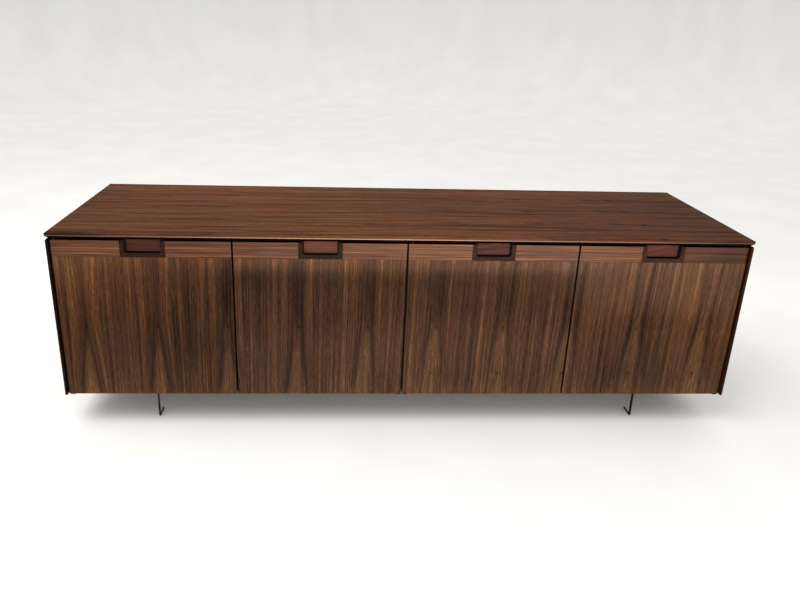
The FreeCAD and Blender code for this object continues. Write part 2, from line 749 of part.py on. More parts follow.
# ---------------------------------------------------------------------------------------------
# Doors
# ---------------------------------------------------------------------------------------------
def door_centre(number):
    """Expression for the middle of a door, counted from the left."""
    return f"({number - 2.5} * {DOOR_PITCH})"


def door_edges(number):
    """Expressions for the left and the right edge of a door; the outer doors reach further."""
    left = f"({door_centre(number)} - {DOOR_WIDTH} / 2)"
    right = f"({door_centre(number)} + {DOOR_WIDTH} / 2)"
    if number == DOORS[0]:
        left = f"({left} - Sizes.outer_extra)"
    if number == DOORS[-1]:
        right = f"({right} + Sizes.outer_extra)"
    return left, right


def make_bushes(doc, number):
    """Flanged brass bushes in the lower and upper edge of a door; returns their holes."""
    sleeves = []
    bushes = []
    for level, height, way in (("lower", DOOR_LOW, "+Z"), ("upper", DOOR_HIGH, "-Z")):
        name = f"bush_{level}_{number}"
        mouth = (pivot_x(number), PIVOT_Y, height)
        outside = shifted(mouth, way, "-Sizes.bush_flange")
        length = "Sizes.bush_depth + Sizes.bush_flange"
        sleeve = rod(doc, name + "_sleeve", mouth, way, "Sizes.bush_radius", "Sizes.bush_depth")
        flange = rod(doc, name + "_flange", outside, way, "Sizes.bush_flange_radius", "Sizes.bush_flange")
        bore_radius = "Sizes.pin_radius + Sizes.pin_clearance"
        bore = rod(doc, name + "_bore", outside, way, bore_radius, length)
        solid = doc.addObject("Part::Fuse", name + "_solid")
        solid.Base = sleeve
        solid.Tool = flange
        sleeves.append(sleeve)
        bushes.append(cut(doc, name, solid, [bore]))
    group(doc, f"door_{number}_bushes", bushes)
    return sleeves


def make_strike(doc, number):
    """Steel disc with a stud, on the back of a door in front of its catch."""
    back = (catch_x(number), f"{DOOR_REAR} + Sizes.strike_thickness", f"{CEILING} - Sizes.catch_height / 2")
    name = f"door_{number}_strike"
    length = "Sizes.strike_stud + Sizes.strike_thickness"
    disc = rod(doc, name + "_disc", back, "-Y", "Sizes.strike_radius", "Sizes.strike_thickness")
    stud = rod(doc, name + "_stud", back, "-Y", "Sizes.small_screw_radius", length)
    strike = doc.addObject("Part::Fuse", name)
    strike.Label = name
    strike.Base = disc
    strike.Tool = stud
    return strike


def make_door_boards(doc, number, tools):
    """Vertical-grain panel of a door and the two lengths of its head rail."""
    left, right = door_edges(number)
    name = f"door_{number}_panel"
    panel = board(doc, name + "_blank", (left, DOOR_FACE, DOOR_LOW), (right, DOOR_REAR, RAIL_LOW))
    edges = [("0", "0", None), (f"{right} - {left}", "0", None), (None, "0", "0")]
    chamfer(panel, edges, "Sizes.door_chamfer")
    cut(doc, name, panel, tools)
    pull_left = f"({door_centre(number)} - Sizes.pull_width / 2)"
    pull_right = f"({door_centre(number)} + Sizes.pull_width / 2)"
    spans = {
        "left": (left, pull_left, "0"),
        "right": (pull_right, right, f"{right} - {pull_right}"),
    }
    for side, (start, end, outside) in spans.items():
        name = f"door_{number}_rail_{side}"
        rail = board(doc, name + "_blank", (start, DOOR_FACE, RAIL_LOW), (end, DOOR_REAR, DOOR_HIGH))
        chamfer(rail, [(outside, "0", None), (None, "0", "Sizes.rail_height")], "Sizes.door_chamfer")
        cut(doc, name, rail, tools)


def make_pull_frame(doc, number):
    """U-shaped surround, flush with the door, undercut behind its lip for the fingers."""
    width = "Sizes.pull_width"
    high = "Sizes.rail_height"
    bar = "Sizes.pull_bar"
    wall = "Sizes.pull_wall"
    inner_left = f"({width} - Sizes.pull_opening) / 2"
    inner_right = f"({width} + Sizes.pull_opening) / 2"
    name = f"door_{number}_pull_frame"
    corner = (f"{door_centre(number)} - {width} / 2", DOOR_FACE, RAIL_LOW)
    body = new_body(doc, name, corner)
    outline = new_sketch(body, name + "_outline", "XZ_Plane")
    draw_outline(outline, [
        ("0", "0"),
        (width, "0"),
        (width, high),
        (inner_right, high),
        (inner_right, bar),
        (inner_left, bar),
        (inner_left, high),
        ("0", high),
    ])
    pad(body, outline, "Sizes.door_thickness", backwards=True)
    fillet(body, [(inner_left, None, bar), (inner_right, None, bar)], "Sizes.pull_corner")
    chamfer(body, [(None, "0", high)], "Sizes.door_chamfer")
    hollow = new_sketch(body, name + "_hollow", "XZ_Plane", "-Sizes.pull_lip")
    draw_outline(hollow, rectangle(f"{width} - 2 * {wall}", high, wall, wall))
    pocket(body, hollow, "Sizes.door_thickness - Sizes.pull_lip")


def make_pull_plate(doc, number):
    """Back of the finger recess: a plate with a raised field that shows in the opening."""
    wall = "Sizes.pull_wall"
    depth = "(Sizes.plate_thickness + Sizes.field_thickness)"
    width = f"(Sizes.pull_width - 2 * {wall})"
    high = f"(Sizes.rail_height - {wall} - Sizes.plate_drop)"
    side = f"((Sizes.pull_width - Sizes.pull_opening) / 2 - {wall} + Sizes.field_gap)"
    low = f"(Sizes.pull_bar - {wall} - Sizes.field_drop)"
    name = f"door_{number}_pull_plate"
    corner = (
        f"{door_centre(number)} - {width} / 2",
        f"{DOOR_REAR} - {depth}",
        f"{RAIL_LOW} + {wall}",
    )
    body = new_body(doc, name, corner)
    plate = new_sketch(body, name + "_plate", "XZ_Plane", "-Sizes.field_thickness")
    draw_outline(plate, rectangle(width, high))
    pad(body, plate, "Sizes.plate_thickness", backwards=True)
    field = new_sketch(body, name + "_field", "XZ_Plane")
    draw_outline(field, rectangle(f"{width} - 2 * {side}", f"{high} - {low}", side, low))
    pad(body, field, "Sizes.field_thickness", backwards=True)
    corners = [(side, None, low), (f"{width} - {side}", None, low)]
    fillet(body, corners, "Sizes.pull_corner")


def make_door(doc, number):
    """One door with everything that swings with it."""
    sleeves = make_bushes(doc, number)
    strike = make_strike(doc, number)
    make_door_boards(doc, number, [*sleeves, strike])
    make_pull_frame(doc, number)
    make_pull_plate(doc, number)


# ---------------------------------------------------------------------------------------------
# Assembly, checks and files
# ---------------------------------------------------------------------------------------------
CASE_LABELS = (
    "top_panel", "end_panel_left", "end_panel_right", "case_side_left", "case_side_right",
    "bottom_board", "sub_top_board", "centre_partition", "back_panel", "shelf_left",
    "shelf_right", "shelf_pegs", "carcass_screws", "end_panel_screws", "top_screws",
    "back_screws", "pivot_plates_lower", "pivot_plates_upper", "pivot_pins", "pivot_screws",
    "leg_front_left", "leg_front_right", "leg_rear_left", "leg_rear_right", "leg_screws",
    "glide_pads", "catches", "catch_screws", "door_bumpers",
)
DOOR_PIECES = ("panel", "rail_left", "rail_right", "pull_frame", "pull_plate", "bushes", "strike")


def make_case(doc):
    """Everything that stands still."""
    mortises, pivot_screws = make_pivots(doc)
    fasteners = {
        "carcass": make_carcass_screws(doc),
        "end": make_end_panel_screws(doc),
        "top": make_top_screws(doc),
        "back": make_back_screws(doc),
        "peg": make_shelf_pegs(doc),
        "pivot": pivot_screws,
        "leg": make_leg_screws(doc),
        "catch": make_catches(doc),
    }
    make_top(doc, fasteners["top"])
    make_end_panels(doc, fasteners["end"])
    make_case_boards(doc, fasteners, mortises)
    make_shelves(doc)
    make_legs(doc, fasteners["leg"])
    make_glide_pads(doc)
    make_bumpers(doc)


def sub_parts(doc):
    """Objects to write, by their labels."""
    labels = list(CASE_LABELS)
    labels += [f"door_{number}_{piece}" for number in DOORS for piece in DOOR_PIECES]
    return [doc.getObjectsByLabel(label)[0] for label in labels]


def check(doc, items):
    """Stop on a failed feature or a sub-part without a sound shape."""
    for item in doc.Objects:
        if "Invalid" in item.State or "Error" in item.State:
            raise RuntimeError(f"{item.Label} failed: {item.State}")
    for item in items:
        if item.Shape.isNull() or not item.Shape.isValid() or not item.Shape.Solids:
            raise RuntimeError(f"{item.Label} has no sound shape")


def export(items):
    """Write one STEP file a sub-part and list the volumes."""
    os.makedirs("parts", exist_ok=True)
    for item in items:
        item.Shape.exportStep(os.path.join("parts", item.Label + ".step"))
        print(f"{item.Label}: {len(item.Shape.Solids)} solid(s), {item.Shape.Volume / 1000:.2f} cm3")


def main():
    """Build the credenza and write its sub-parts."""
    doc = FreeCAD.newDocument("credenza")
    make_sheet(doc)
    make_case(doc)
    for number in DOORS:
        make_door(doc, number)
    doc.recompute()
    items = sub_parts(doc)
    check(doc, items)
    export(items)


main()
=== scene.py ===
"""Looks of the office credenza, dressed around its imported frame.

The frame holds the sizes. Each sub-assembly below takes its solids from the frame, eases their
edges, adds the fittings' fine detail and lays the finishes on. All lengths are in metres.
"""

import json
import logging
import math
import sys
from collections.abc import Callable
from dataclasses import dataclass
from enum import Enum

import bmesh
import bpy
from bpy.types import Material, Mesh, Node, NodeSocket, NodeTree, Object
from mathutils import Matrix, Vector

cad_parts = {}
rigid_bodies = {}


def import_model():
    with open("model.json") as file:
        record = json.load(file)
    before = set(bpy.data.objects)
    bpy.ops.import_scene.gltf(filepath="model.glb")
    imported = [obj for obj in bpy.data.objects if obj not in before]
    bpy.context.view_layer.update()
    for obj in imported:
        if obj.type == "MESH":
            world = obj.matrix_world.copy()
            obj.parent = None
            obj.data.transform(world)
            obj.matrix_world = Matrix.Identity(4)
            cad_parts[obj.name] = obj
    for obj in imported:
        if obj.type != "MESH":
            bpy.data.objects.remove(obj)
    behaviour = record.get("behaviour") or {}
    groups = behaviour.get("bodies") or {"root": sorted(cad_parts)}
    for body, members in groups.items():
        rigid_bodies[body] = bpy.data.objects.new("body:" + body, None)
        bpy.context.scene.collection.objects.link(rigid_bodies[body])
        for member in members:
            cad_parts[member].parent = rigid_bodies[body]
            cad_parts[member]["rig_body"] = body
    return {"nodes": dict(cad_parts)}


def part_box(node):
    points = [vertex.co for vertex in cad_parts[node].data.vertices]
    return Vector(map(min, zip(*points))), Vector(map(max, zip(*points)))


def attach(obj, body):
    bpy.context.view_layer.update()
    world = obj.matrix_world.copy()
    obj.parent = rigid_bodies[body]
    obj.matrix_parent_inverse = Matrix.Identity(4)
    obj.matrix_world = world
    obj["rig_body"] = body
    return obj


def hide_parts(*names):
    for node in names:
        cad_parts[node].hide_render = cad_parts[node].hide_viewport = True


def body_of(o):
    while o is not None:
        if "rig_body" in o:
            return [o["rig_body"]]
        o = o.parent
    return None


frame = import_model()

LOG = logging.getLogger("credenza")
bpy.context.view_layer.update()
MM = 0.001
DOOR_COUNT = 4
PULL_PITCH = 0.45225
MERGE = 1e-6
FLAT = math.radians(0.4)
CORNER = math.radians(30)
BROAD_FACE = 0.002
LEANING = 0.5
Triple = tuple[float, float, float]


class Grain(Enum):
    """The axis that a board's grain runs along, with the axes across it and through it."""

    ALONG_WIDTH = ("X", "Y", "Z")
    ALONG_HEIGHT = ("Z", "X", "Y")
    ALONG_HEIGHT_ON_SIDE = ("Z", "Y", "X")
    ALONG_WIDTH_UPRIGHT = ("X", "Z", "Y")


class Drive(Enum):
    """The recess of a screw's head."""

    CROSS = "cross"
    HEX = "hex"


def colour(*shade: float) -> tuple[float, ...]:
    """A colour as light values, from its display values of 0 to 255.

    Args:
        shade: The display values of red, green and blue.

    Returns:
        The four values that a colour socket takes.
    """
    shares = [value / 255 for value in shade]
    light = [s / 12.92 if s <= 0.04045 else ((s + 0.055) / 1.055) ** 2.4 for s in shares]
    return (*light, 1.0)


def feed(tree: NodeTree, term: object, socket: NodeSocket) -> None:
    """Gives a socket its number, colour or link.

    Args:
        tree: The tree of the socket.
        term: A Value, an output socket or a plain value.
        socket: The input to fill.
    """
    term = term.socket if isinstance(term, Value) else term
    if isinstance(term, NodeSocket):
        tree.links.new(term, socket)
    else:
        socket.default_value = term


def add(tree: NodeTree, kind: str, inputs: dict | tuple = (), **options: object) -> Node:
    """Adds a node to a tree.

    Args:
        tree: The tree.
        kind: The node's type; ShaderNode may be left out of it.
        inputs: What goes into its sockets, in order or by name; a list fills one socket.
        options: Settings of the node itself.

    Returns:
        The node.
    """
    node = tree.nodes.new(kind if "Node" in kind else f"ShaderNode{kind}")
    for name, value in options.items():
        setattr(node, name, value)
    for key, terms in inputs.items() if isinstance(inputs, dict) else enumerate(inputs):
        for term in terms if isinstance(terms, list) else [terms]:
            feed(tree, term, node.inputs[key])
    return node


def maths(operation: str) -> Callable[..., "Value"]:
    """A method that combines a Value with other numbers through one Math node.

    Args:
        operation: The node's operation.

    Returns:
        The method.
    """
    def combine(value: "Value", *others: object) -> "Value":
        """The result of the Math node."""
        node = add(value.tree, "Math", (value, *others), operation=operation)
        return Value(value.tree, node.outputs[0])

    return combine


class Value:
    """One number of a node tree, which plain arithmetic combines with others."""

    __add__ = __radd__ = maths("ADD")
    __sub__ = maths("SUBTRACT")
    __mul__ = maths("MULTIPLY")
    __truediv__ = maths("DIVIDE")
    __pow__ = maths("POWER")
    at_least = maths("MAXIMUM")
    at_most = maths("MINIMUM")
    whole = maths("FLOOR")
    saw = maths("FRACT")
    size = maths("ABSOLUTE")
    sign = maths("SIGN")

    def __init__(self, tree: NodeTree, socket: NodeSocket) -> None:
        """Holds a socket of the tree."""
        self.tree = tree
        self.socket = socket

    def __rsub__(self, other: float) -> "Value":
        """The difference from a plain number."""
        return self * -1.0 + other

    def step(self, start: float, end: float) -> "Value":
        """A smooth rise from 0 where this is start to 1 where it is end.

        Args:
            start: Where the rise begins.
            end: Where it ends, above or below start.

        Returns:
            The height, from 0 to 1.
        """
        rises = float(start < end)
        inputs = (self, min(start, end), max(start, end), 1.0 - rises, rises)
        node = add(self.tree, "MapRange", inputs, interpolation_type="SMOOTHSTEP")
        return Value(self.tree, node.outputs["Result"])

    def bell(self, width: float) -> "Value":
        """A bell curve of height 1 where this is 0 and about a sixth at width."""
        ratio = self / width
        return (1.0 + ratio * ratio * 1.4) ** -2.0


class Paint:
    """A writer of one material: its tree, its coordinates and its surface shader."""

    SOCKETS = {"base": "Base Color", "rough": "Roughness", "metal": "Metallic",
               "gloss": "Specular IOR Level", "ior": "IOR"}
    MIX_FIRST, MIX_SECOND, MIX_RESULT = 6, 7, 2

    def __init__(self, name: str) -> None:
        """Starts a material.

        Args:
            name: The material's name.
        """
        self.material = bpy.data.materials.new(name)
        self.material.use_nodes = True
        self.tree = self.material.node_tree
        self.shader = self.tree.nodes["Principled BSDF"]

    def place(self, grain: Grain = Grain.ALONG_WIDTH) -> list[Value]:
        """The shaded point's place on the object: along the grain, across it and through it."""
        split = add(self.tree, "SeparateXYZ", (add(self.tree, "TexCoord").outputs["Object"],))
        return [Value(self.tree, split.outputs[axis]) for axis in grain.value]

    def cloud(self, spot: tuple, detail: float = 2.0, rough: float = 0.5) -> Value:
        """Soft noise from about -0.5 to 0.5.

        Args:
            spot: The three coordinates, already scaled.
            detail: The number of finer layers.
            rough: The strength of each finer layer.

        Returns:
            The noise.
        """
        join = add(self.tree, "CombineXYZ", spot)
        noise = add(self.tree, "TexNoise", {
            "Vector": join.outputs[0], "Scale": 1.0, "Detail": detail, "Roughness": rough,
        })
        return Value(self.tree, noise.outputs["Fac"]) - 0.5

    def rings(self, spot: Value, seed: Value, run: Value, spacing: float) -> Value:
        """Growth rings cut lengthwise: each lightens slowly, then ends in a dark line.

        Args:
            spot: Distance across the grain.
            seed: The leaf's own number.
            run: Distance along the grain.
            spacing: Mean width of a ring.

        Returns:
            The rings, from about -0.75 to 0.25.
        """
        warp = self.cloud((spot * 22.0, seed + 2.7, run * 0.7), 2.0, 0.6)
        ring = (spot / spacing + warp * 5.0).saw()
        return 0.25 - ring ** 4.0

    def washed(self, tone: Value, spot: tuple, washes: tuple, lively: object = 1.0) -> Value:
        """A tone with broad light and dark areas laid over it.

        Args:
            tone: The tone.
            spot: The two coordinates that place an area.
            washes: The middle, the two half widths and the light of each area.
            lively: A factor for every area.

        Returns:
            The new tone.
        """
        for first, second, wide, tall, light in washes:
            wash = (spot[0] - first).bell(wide) * (spot[1] - second).bell(tall) * light
            tone = tone + wash * lively
        return tone

    def shades(self, tone: Value, stops: dict) -> NodeSocket:
        """The colours of a tone.

        Args:
            tone: The tone, from 0 for dark to 1 for light.
            stops: The display colours at some tones.

        Returns:
            The colour's socket.
        """
        ramp = add(self.tree, "ValToRGB", (tone,))
        band = ramp.color_ramp
        while len(band.elements) < len(stops):
            band.elements.new(0.5)
        for stop, (where, shade) in zip(band.elements, sorted(stops.items())):
            stop.position = where
            stop.color = colour(*shade)
        return ramp.outputs["Color"]

    def mixed(self, share: object, first: object, second: object,
              blend: str = "MIX") -> NodeSocket:
        """Two colours mixed.

        Args:
            share: The second colour's share, from 0 to 1.
            first: The first colour.
            second: The second colour.
            blend: The Mix node's way to blend.

        Returns:
            The mixed colour's socket.
        """
        inputs = {0: share, self.MIX_FIRST: first, self.MIX_SECOND: second}
        node = add(self.tree, "Mix", inputs, data_type="RGBA", blend_type=blend)
        return node.outputs[self.MIX_RESULT]

    def stained(self, base: NodeSocket, stain: object) -> NodeSocket:
        """A colour under an even stain, given as light shares or as another colour."""
        stain = (*stain, 1.0) if isinstance(stain, tuple) else stain
        return self.mixed(1.0, base, stain, "MULTIPLY")

    def pored(self, base: NodeSocket, spot: tuple, least: float = 0.14,
              share: float = 0.35) -> tuple[NodeSocket, Value]:
        """A wood's colour with its open pores drawn in.

        Args:
            base: The wood's colour.
            spot: The three coordinates, scaled to the pores.
            least: The noise that opens a pore.
            share: The darkness of the pores.

        Returns:
            The colour's socket, and the pores from 0 to 1.
        """
        pores = self.cloud(spot, 1.0).step(least, least + 0.1)
        return self.mixed(pores * share, base, colour(*PORE)), pores

    def relief(self, height: Value, depth: float = 0.00004) -> None:
        """Raises the grain in the shading only; depth is what a height of 1 stands for."""
        bump = add(self.tree, "Bump", {"Strength": 1.0, "Distance": depth, "Height": height})
        feed(self.tree, bump.outputs[0], self.shader.inputs["Normal"])

    def surface(self, **values: object) -> Material:
        """Closes the surface.

        Args:
            values: What the shader's sockets get, by the keys of SOCKETS.

        Returns:
            The material.
        """
        for name, value in values.items():
            feed(self.tree, value, self.shader.inputs[self.SOCKETS[name]])
        return self.material


WALNUT = {
    0.00: (30, 19, 14),
    0.22: (54, 36, 26),
    0.45: (84, 57, 40),
    0.62: (106, 74, 51),
    0.80: (133, 98, 68),
    1.00: (164, 127, 92),
}
PORE = (28, 18, 13)
PORE_FINE = 2600.0
PORE_LONG = 130.0
OLIVE = (0.57, 0.56, 0.49, 1.0)
RUSSET = (0.62, 0.54, 0.51, 1.0)
YELLOWED = (1.0, 0.94, 0.80, 1.0)
COOLED = (1.0, 1.03, 1.12, 1.0)
# Painted reflection: the tint of the bright floor's reflection in the rails.
REFLECTION_TINT = (1.0, 1.03, 1.22, 1.0)
STRANDS = (
    (-0.091, 0.005, -0.04),
    (-0.071, 0.012, 0.05),
    (-0.051, 0.006, -0.04),
    (-0.041, 0.005, 0.03),
    (0.0275, 0.004, 0.05),
    (0.041, 0.008, -0.04),
    (0.056, 0.008, 0.04),
)
# Broad areas of the doors, each as middle along the width and up, half widths and light:
# partly the leaves' own tone, partly painted light, with a painted reflection band under the
# rails, painted shade below it and painted light along the bottom.
DOOR_TONES_AND_PAINTED_LIGHT = (
    (-0.474, 0.385, 0.020, 0.110, -0.14),
    (0.0, 0.090, 4.0, 0.080, 0.09),
    (0.0, 0.494, 4.0, 0.045, 0.12),
    (-0.590, 0.270, 0.170, 0.220, -0.15),
    (-0.240, 0.290, 0.110, 0.080, -0.05),
    (0.120, 0.300, 0.120, 0.130, 0.03),
    (0.490, 0.270, 0.060, 0.150, 0.07),
    (0.720, 0.440, 0.300, 0.140, 0.15),
    (0.660, 0.320, 0.090, 0.180, -0.08),
    (0.600, 0.160, 0.100, 0.070, -0.10),
    (-0.860, 0.445, 0.080, 0.090, 0.18),
    (-0.800, 0.160, 0.150, 0.080, 0.03),
    (0.350, 0.420, 0.450, 0.080, 0.03),
    (-0.395, 0.440, 0.070, 0.050, -0.11),
    (0.0, 0.430, 0.500, 0.022, -0.07),
    (0.550, 0.340, 0.120, 0.060, 0.08),
    (0.860, 0.270, 0.060, 0.170, 0.09),
    (-0.540, 0.240, 0.070, 0.060, -0.07),
    (0.758, 0.280, 0.045, 0.300, 0.12),
    (-0.150, 0.340, 0.160, 0.120, -0.05),
    (-0.470, 0.300, 0.120, 0.060, -0.03),
    (0.150, 0.160, 0.150, 0.070, -0.05),
    (0.570, 0.400, 0.035, 0.090, 0.09),
    (0.640, 0.440, 0.025, 0.050, 0.07),
)
# Areas of the rails, each as middle along and up, half widths and light: painted reflection
# along the upper edge.
# and painted shade along the width, a dark joint line at the foot and a painted highlight
RAIL_PAINTED_LIGHT_AND_JOINT = (
    (-0.300, 0.517, 0.160, 1.0, -0.07),
    (0.080, 0.517, 0.280, 1.0, 0.10),
    (0.870, 0.520, 0.160, 1.0, -0.26),
    (-0.900, 0.525, 0.060, 0.020, -0.10),
    (-0.380, 0.520, 0.070, 1.0, -0.06),
    (0.720, 0.527, 0.120, 0.012, -0.07),
    (0.900, 0.525, 0.060, 0.020, -0.08),
    (0.300, 0.502, 0.060, 0.010, 0.08),
    (0.0, 0.4940, 50.0, 0.0016, -0.20),
    (0.0, 0.5385, 50.0, 0.0020, 0.14),
)
PULL_SHADES = (
    (((24, 14, 10), (42, 26, 19)), ((46, 28, 22), (78, 50, 40))),
    (((24, 15, 12), (40, 26, 20)), ((74, 43, 31), (114, 72, 53))),
    (((34, 18, 15), (56, 34, 28)), ((50, 28, 25), (94, 60, 52))),
    (((38, 20, 14), (58, 34, 25)), ((64, 35, 28), (97, 58, 46))),
)


@dataclass(frozen=True)
class CrownVeneer:
    """Flat-cut walnut veneer in slip-matched leaves, each with its pair of heart streaks."""

    name: str
    grain: Grain
    first: float
    pitch: float
    foot: float
    head: float
    depth_of_figure: float = 1.0
    darkest_leaf: float = 2.6
    washes: tuple = ()
    # How dark the painted shade over the middle doors is.
    shade: float = 0.0
    rough: float = 0.18
    ior: float = 1.21
    inner_face: float | None = None

    def material(self) -> Material:
        """Writes the veneer.

        Returns:
            The material.
        """
        paint = Paint(self.name)
        along, across, through = paint.place(self.grain)
        leaf = ((across - self.first) / self.pitch + 0.5).whole()
        later = (leaf / 9.0).at_least(0.0).at_most(1.0)
        early = (1.0 - later) ** 3.0
        rise = (along - self.foot) / (self.head - self.foot)
        sway = paint.cloud((leaf * 0.5, along * 5.0, 4.0)) * 0.004
        side = across - self.first - leaf * self.pitch + sway

        # The two streaks stand apart by a half width that is least at the waist.
        waist = 0.0195 - early * 0.0175
        top = later * 0.014 + 0.0085
        foot = later * 0.006 + 0.0245
        below = ((0.55 - rise) / 0.55).at_least(0.0)
        above = ((rise - 0.6) / 0.4).at_least(0.0)
        half = waist + (foot - waist) * below + (top - waist) * above
        from_middle = side - (rise * 0.007 - 0.0055)
        inside = (from_middle.size() / half).at_most(1.0)
        near = side.size().step(0.056, 0.014)
        shift = from_middle.sign() * (half - 0.018) * inside
        line = from_middle - shift * near

        seed = leaf * 0.07
        bands = paint.cloud((line * 42.0, seed, along * 0.4), 2.0, 0.6)
        lines = paint.cloud((line * 150.0, seed * 2.0 + 7.0, along * 1.2), 3.0, 0.72)
        hairs = paint.cloud((line * 560.0, leaf * 0.4 + 3.0, along * 4.0), 2.0, 0.7)
        flecks = paint.cloud((line * 240.0, leaf * 0.3 + 13.0, along * 42.0), 3.0, 0.7)
        rings = paint.rings(line, leaf * 0.17, along, 0.016)
        thin = paint.cloud((line * 75.0, leaf * 0.2 + 21.0, along * 0.5), 1.0).size()
        swell = paint.cloud((across * 2.4, 1.5, along * 3.5), 1.0)

        strands = 0.0
        for offset, wide, light in STRANDS:
            strands = (side - offset).bell(wide) * light + strands
        middle_up = rise.step(0.15, 0.70)
        strands = strands * (1.0 - early * 0.6) * (1.0 - middle_up * 0.3)

        # The heart's dark streaks fade upwards, and the later leaves fill up between them.
        streaks = (from_middle + half).bell(0.0095) + (from_middle - half).bell(0.0090)
        crossing = 1.0 + early * rise.step(0.30, 0.08) * 0.5
        calm = 1.0 - middle_up * (0.48 - later.step(0.60, 0.85) * 0.55)
        heart = streaks * crossing * calm * (1.0 + lines * 2.2).at_least(0.0)
        filled = inside.step(1.0, 0.7) * (leaf - self.darkest_leaf).bell(2.2)
        filled = filled * rise.step(0.5, 0.66) * (1.0 + lines * 1.5)

        # The crown is a nest of arches with a light ground.
        crown = (from_middle * from_middle + 0.000009) ** 0.5 / 0.075 + rise
        crown = crown + paint.cloud((leaf * 0.7, along * 14.0, side * 9.0)) * 0.10
        apex = 0.46 + later.step(0.35, 0.6) * 0.22
        glow = (crown - apex).step(0.05, -0.16)
        nest = paint.cloud((crown * 24.0, seed, along * 2.2), 2.0, 0.6)
        lines = lines * (1.0 - glow * 0.55) + nest * glow * 0.28
        rings = rings * (1.0 - glow * 0.8)

        knots = self._knot(side, rise - 0.515)
        knots = knots + self._knot(side + 0.006, rise - 0.165) * later.step(0.3, 0.8)
        ground = bands * 0.30 + lines * 1.04 + hairs * 0.72 + flecks * 0.62 + rings * 0.09
        ground = ground + thin.step(0.022, 0.004) * 0.06 + swell * 0.20
        marks = strands + glow * (early * 0.04 + 0.17)
        marks = marks - heart * 0.25 - filled * 0.15 - knots * 0.42
        tone = 0.430 + ground + marks * self.depth_of_figure
        tone = paint.washed(tone, (across, along), self.washes, 1.0 + bands * 1.2)
        # Painted shade: a darker band over the middle doors below the bright band under the
        # rails,
        # standing in for a dark reflection.
        shade = across.size().step(0.56, 0.40) * along.step(0.478, 0.448) * along.step(0.22, 0.46)
        base = paint.shades(tone - shade * self.shade, WALNUT)

        warm = paint.cloud((line * 55.0, seed + 11.0, along * 0.9))
        warm = (warm * 2.4 + 0.5 - glow * 0.5).at_least(0.0).at_most(1.0)
        base = paint.stained(base, paint.mixed(warm, OLIVE, RUSSET))
        cooler = across.size().step(0.60, 0.36) * along.step(0.45, 0.38)
        cooler = cooler + across.step(-0.08, 0.14) * along.step(0.44, 0.48)
        cooler = (cooler + across.step(0.45, 0.70) * 0.35).at_most(1.0)
        base = paint.stained(base, paint.mixed(cooler, YELLOWED, COOLED))

        base, pores = paint.pored(base, (side * PORE_FINE, leaf, along * PORE_LONG))
        rough = self.rough + hairs * 0.10
        if self.inner_face is not None:
            rough = rough + through.step(self.inner_face - 0.006, self.inner_face - 0.002) * 0.30
        paint.relief(lines * 0.5 + hairs - pores * 0.5)
        return paint.surface(base=base, rough=rough, ior=self.ior)

    @staticmethod
    def _knot(beside: Value, above: Value) -> Value:
        """How dark a small pin knot makes a point beside and above it."""
        return beside.bell(0.0035) * above.bell(0.016)


@dataclass(frozen=True)
class StraightVeneer:
    """Quarter-cut walnut with straight grain, for rails, edges and inner boards."""

    name: str
    grain: Grain
    leaf: float
    brightness: float = 0.0
    contrast: float = 1.0
    warmth: float = 0.3
    stain: Triple = (0.62, 0.60, 0.62)
    ior: float = 1.21
    rough: float = 0.18
    washes: tuple = ()
    rosy: float = 0.0
    rosy_at: float = 0.33

    def material(self) -> Material:
        """Writes the veneer.

        Returns:
            The material.
        """
        paint = Paint(self.name)
        along, across, through = paint.place(self.grain)
        leaf = (across / self.leaf + 0.5).whole()
        side = across - leaf * self.leaf + through * 0.35
        line = side + paint.cloud((along * 3.0, leaf, 2.0), 1.0) * 0.004
        seed = leaf * 0.23
        bands = paint.cloud((along * 0.9, seed, line * 60.0))
        lines = paint.cloud((along * 3.2, seed + 5.0, line * 230.0), 3.0, 0.7)
        hairs = paint.cloud((along * 9.0, seed + 9.0, line * 900.0), 1.0)
        rings = paint.rings(line, seed, along, 0.011)
        swell = paint.cloud((along * 2.3, across * 2.0, 5.0), 1.0)
        figure = bands * 0.40 + lines * 0.85 + hairs * 0.60 + rings * 0.16
        tone = 0.46 + self.brightness + figure * self.contrast + swell * 0.16
        tone = paint.washed(tone, (along, across), self.washes)
        base = paint.shades(tone, WALNUT)
        base = paint.mixed(self.warmth, base, colour(168, 98, 70), "SOFT_LIGHT")
        # Painted reflection: a pinker, cooler tint about the middle of the rails.
        rosy = (along - self.rosy_at).bell(0.45) * self.rosy
        base = paint.mixed(rosy, base, REFLECTION_TINT, "MULTIPLY")
        base = paint.stained(base, self.stain)
        base, pores = paint.pored(base, (along * PORE_LONG, leaf, side * PORE_FINE))
        paint.relief(lines * 0.5 + hairs - pores * 0.5)
        return paint.surface(base=base, rough=self.rough + hairs * 0.14, ior=self.ior)


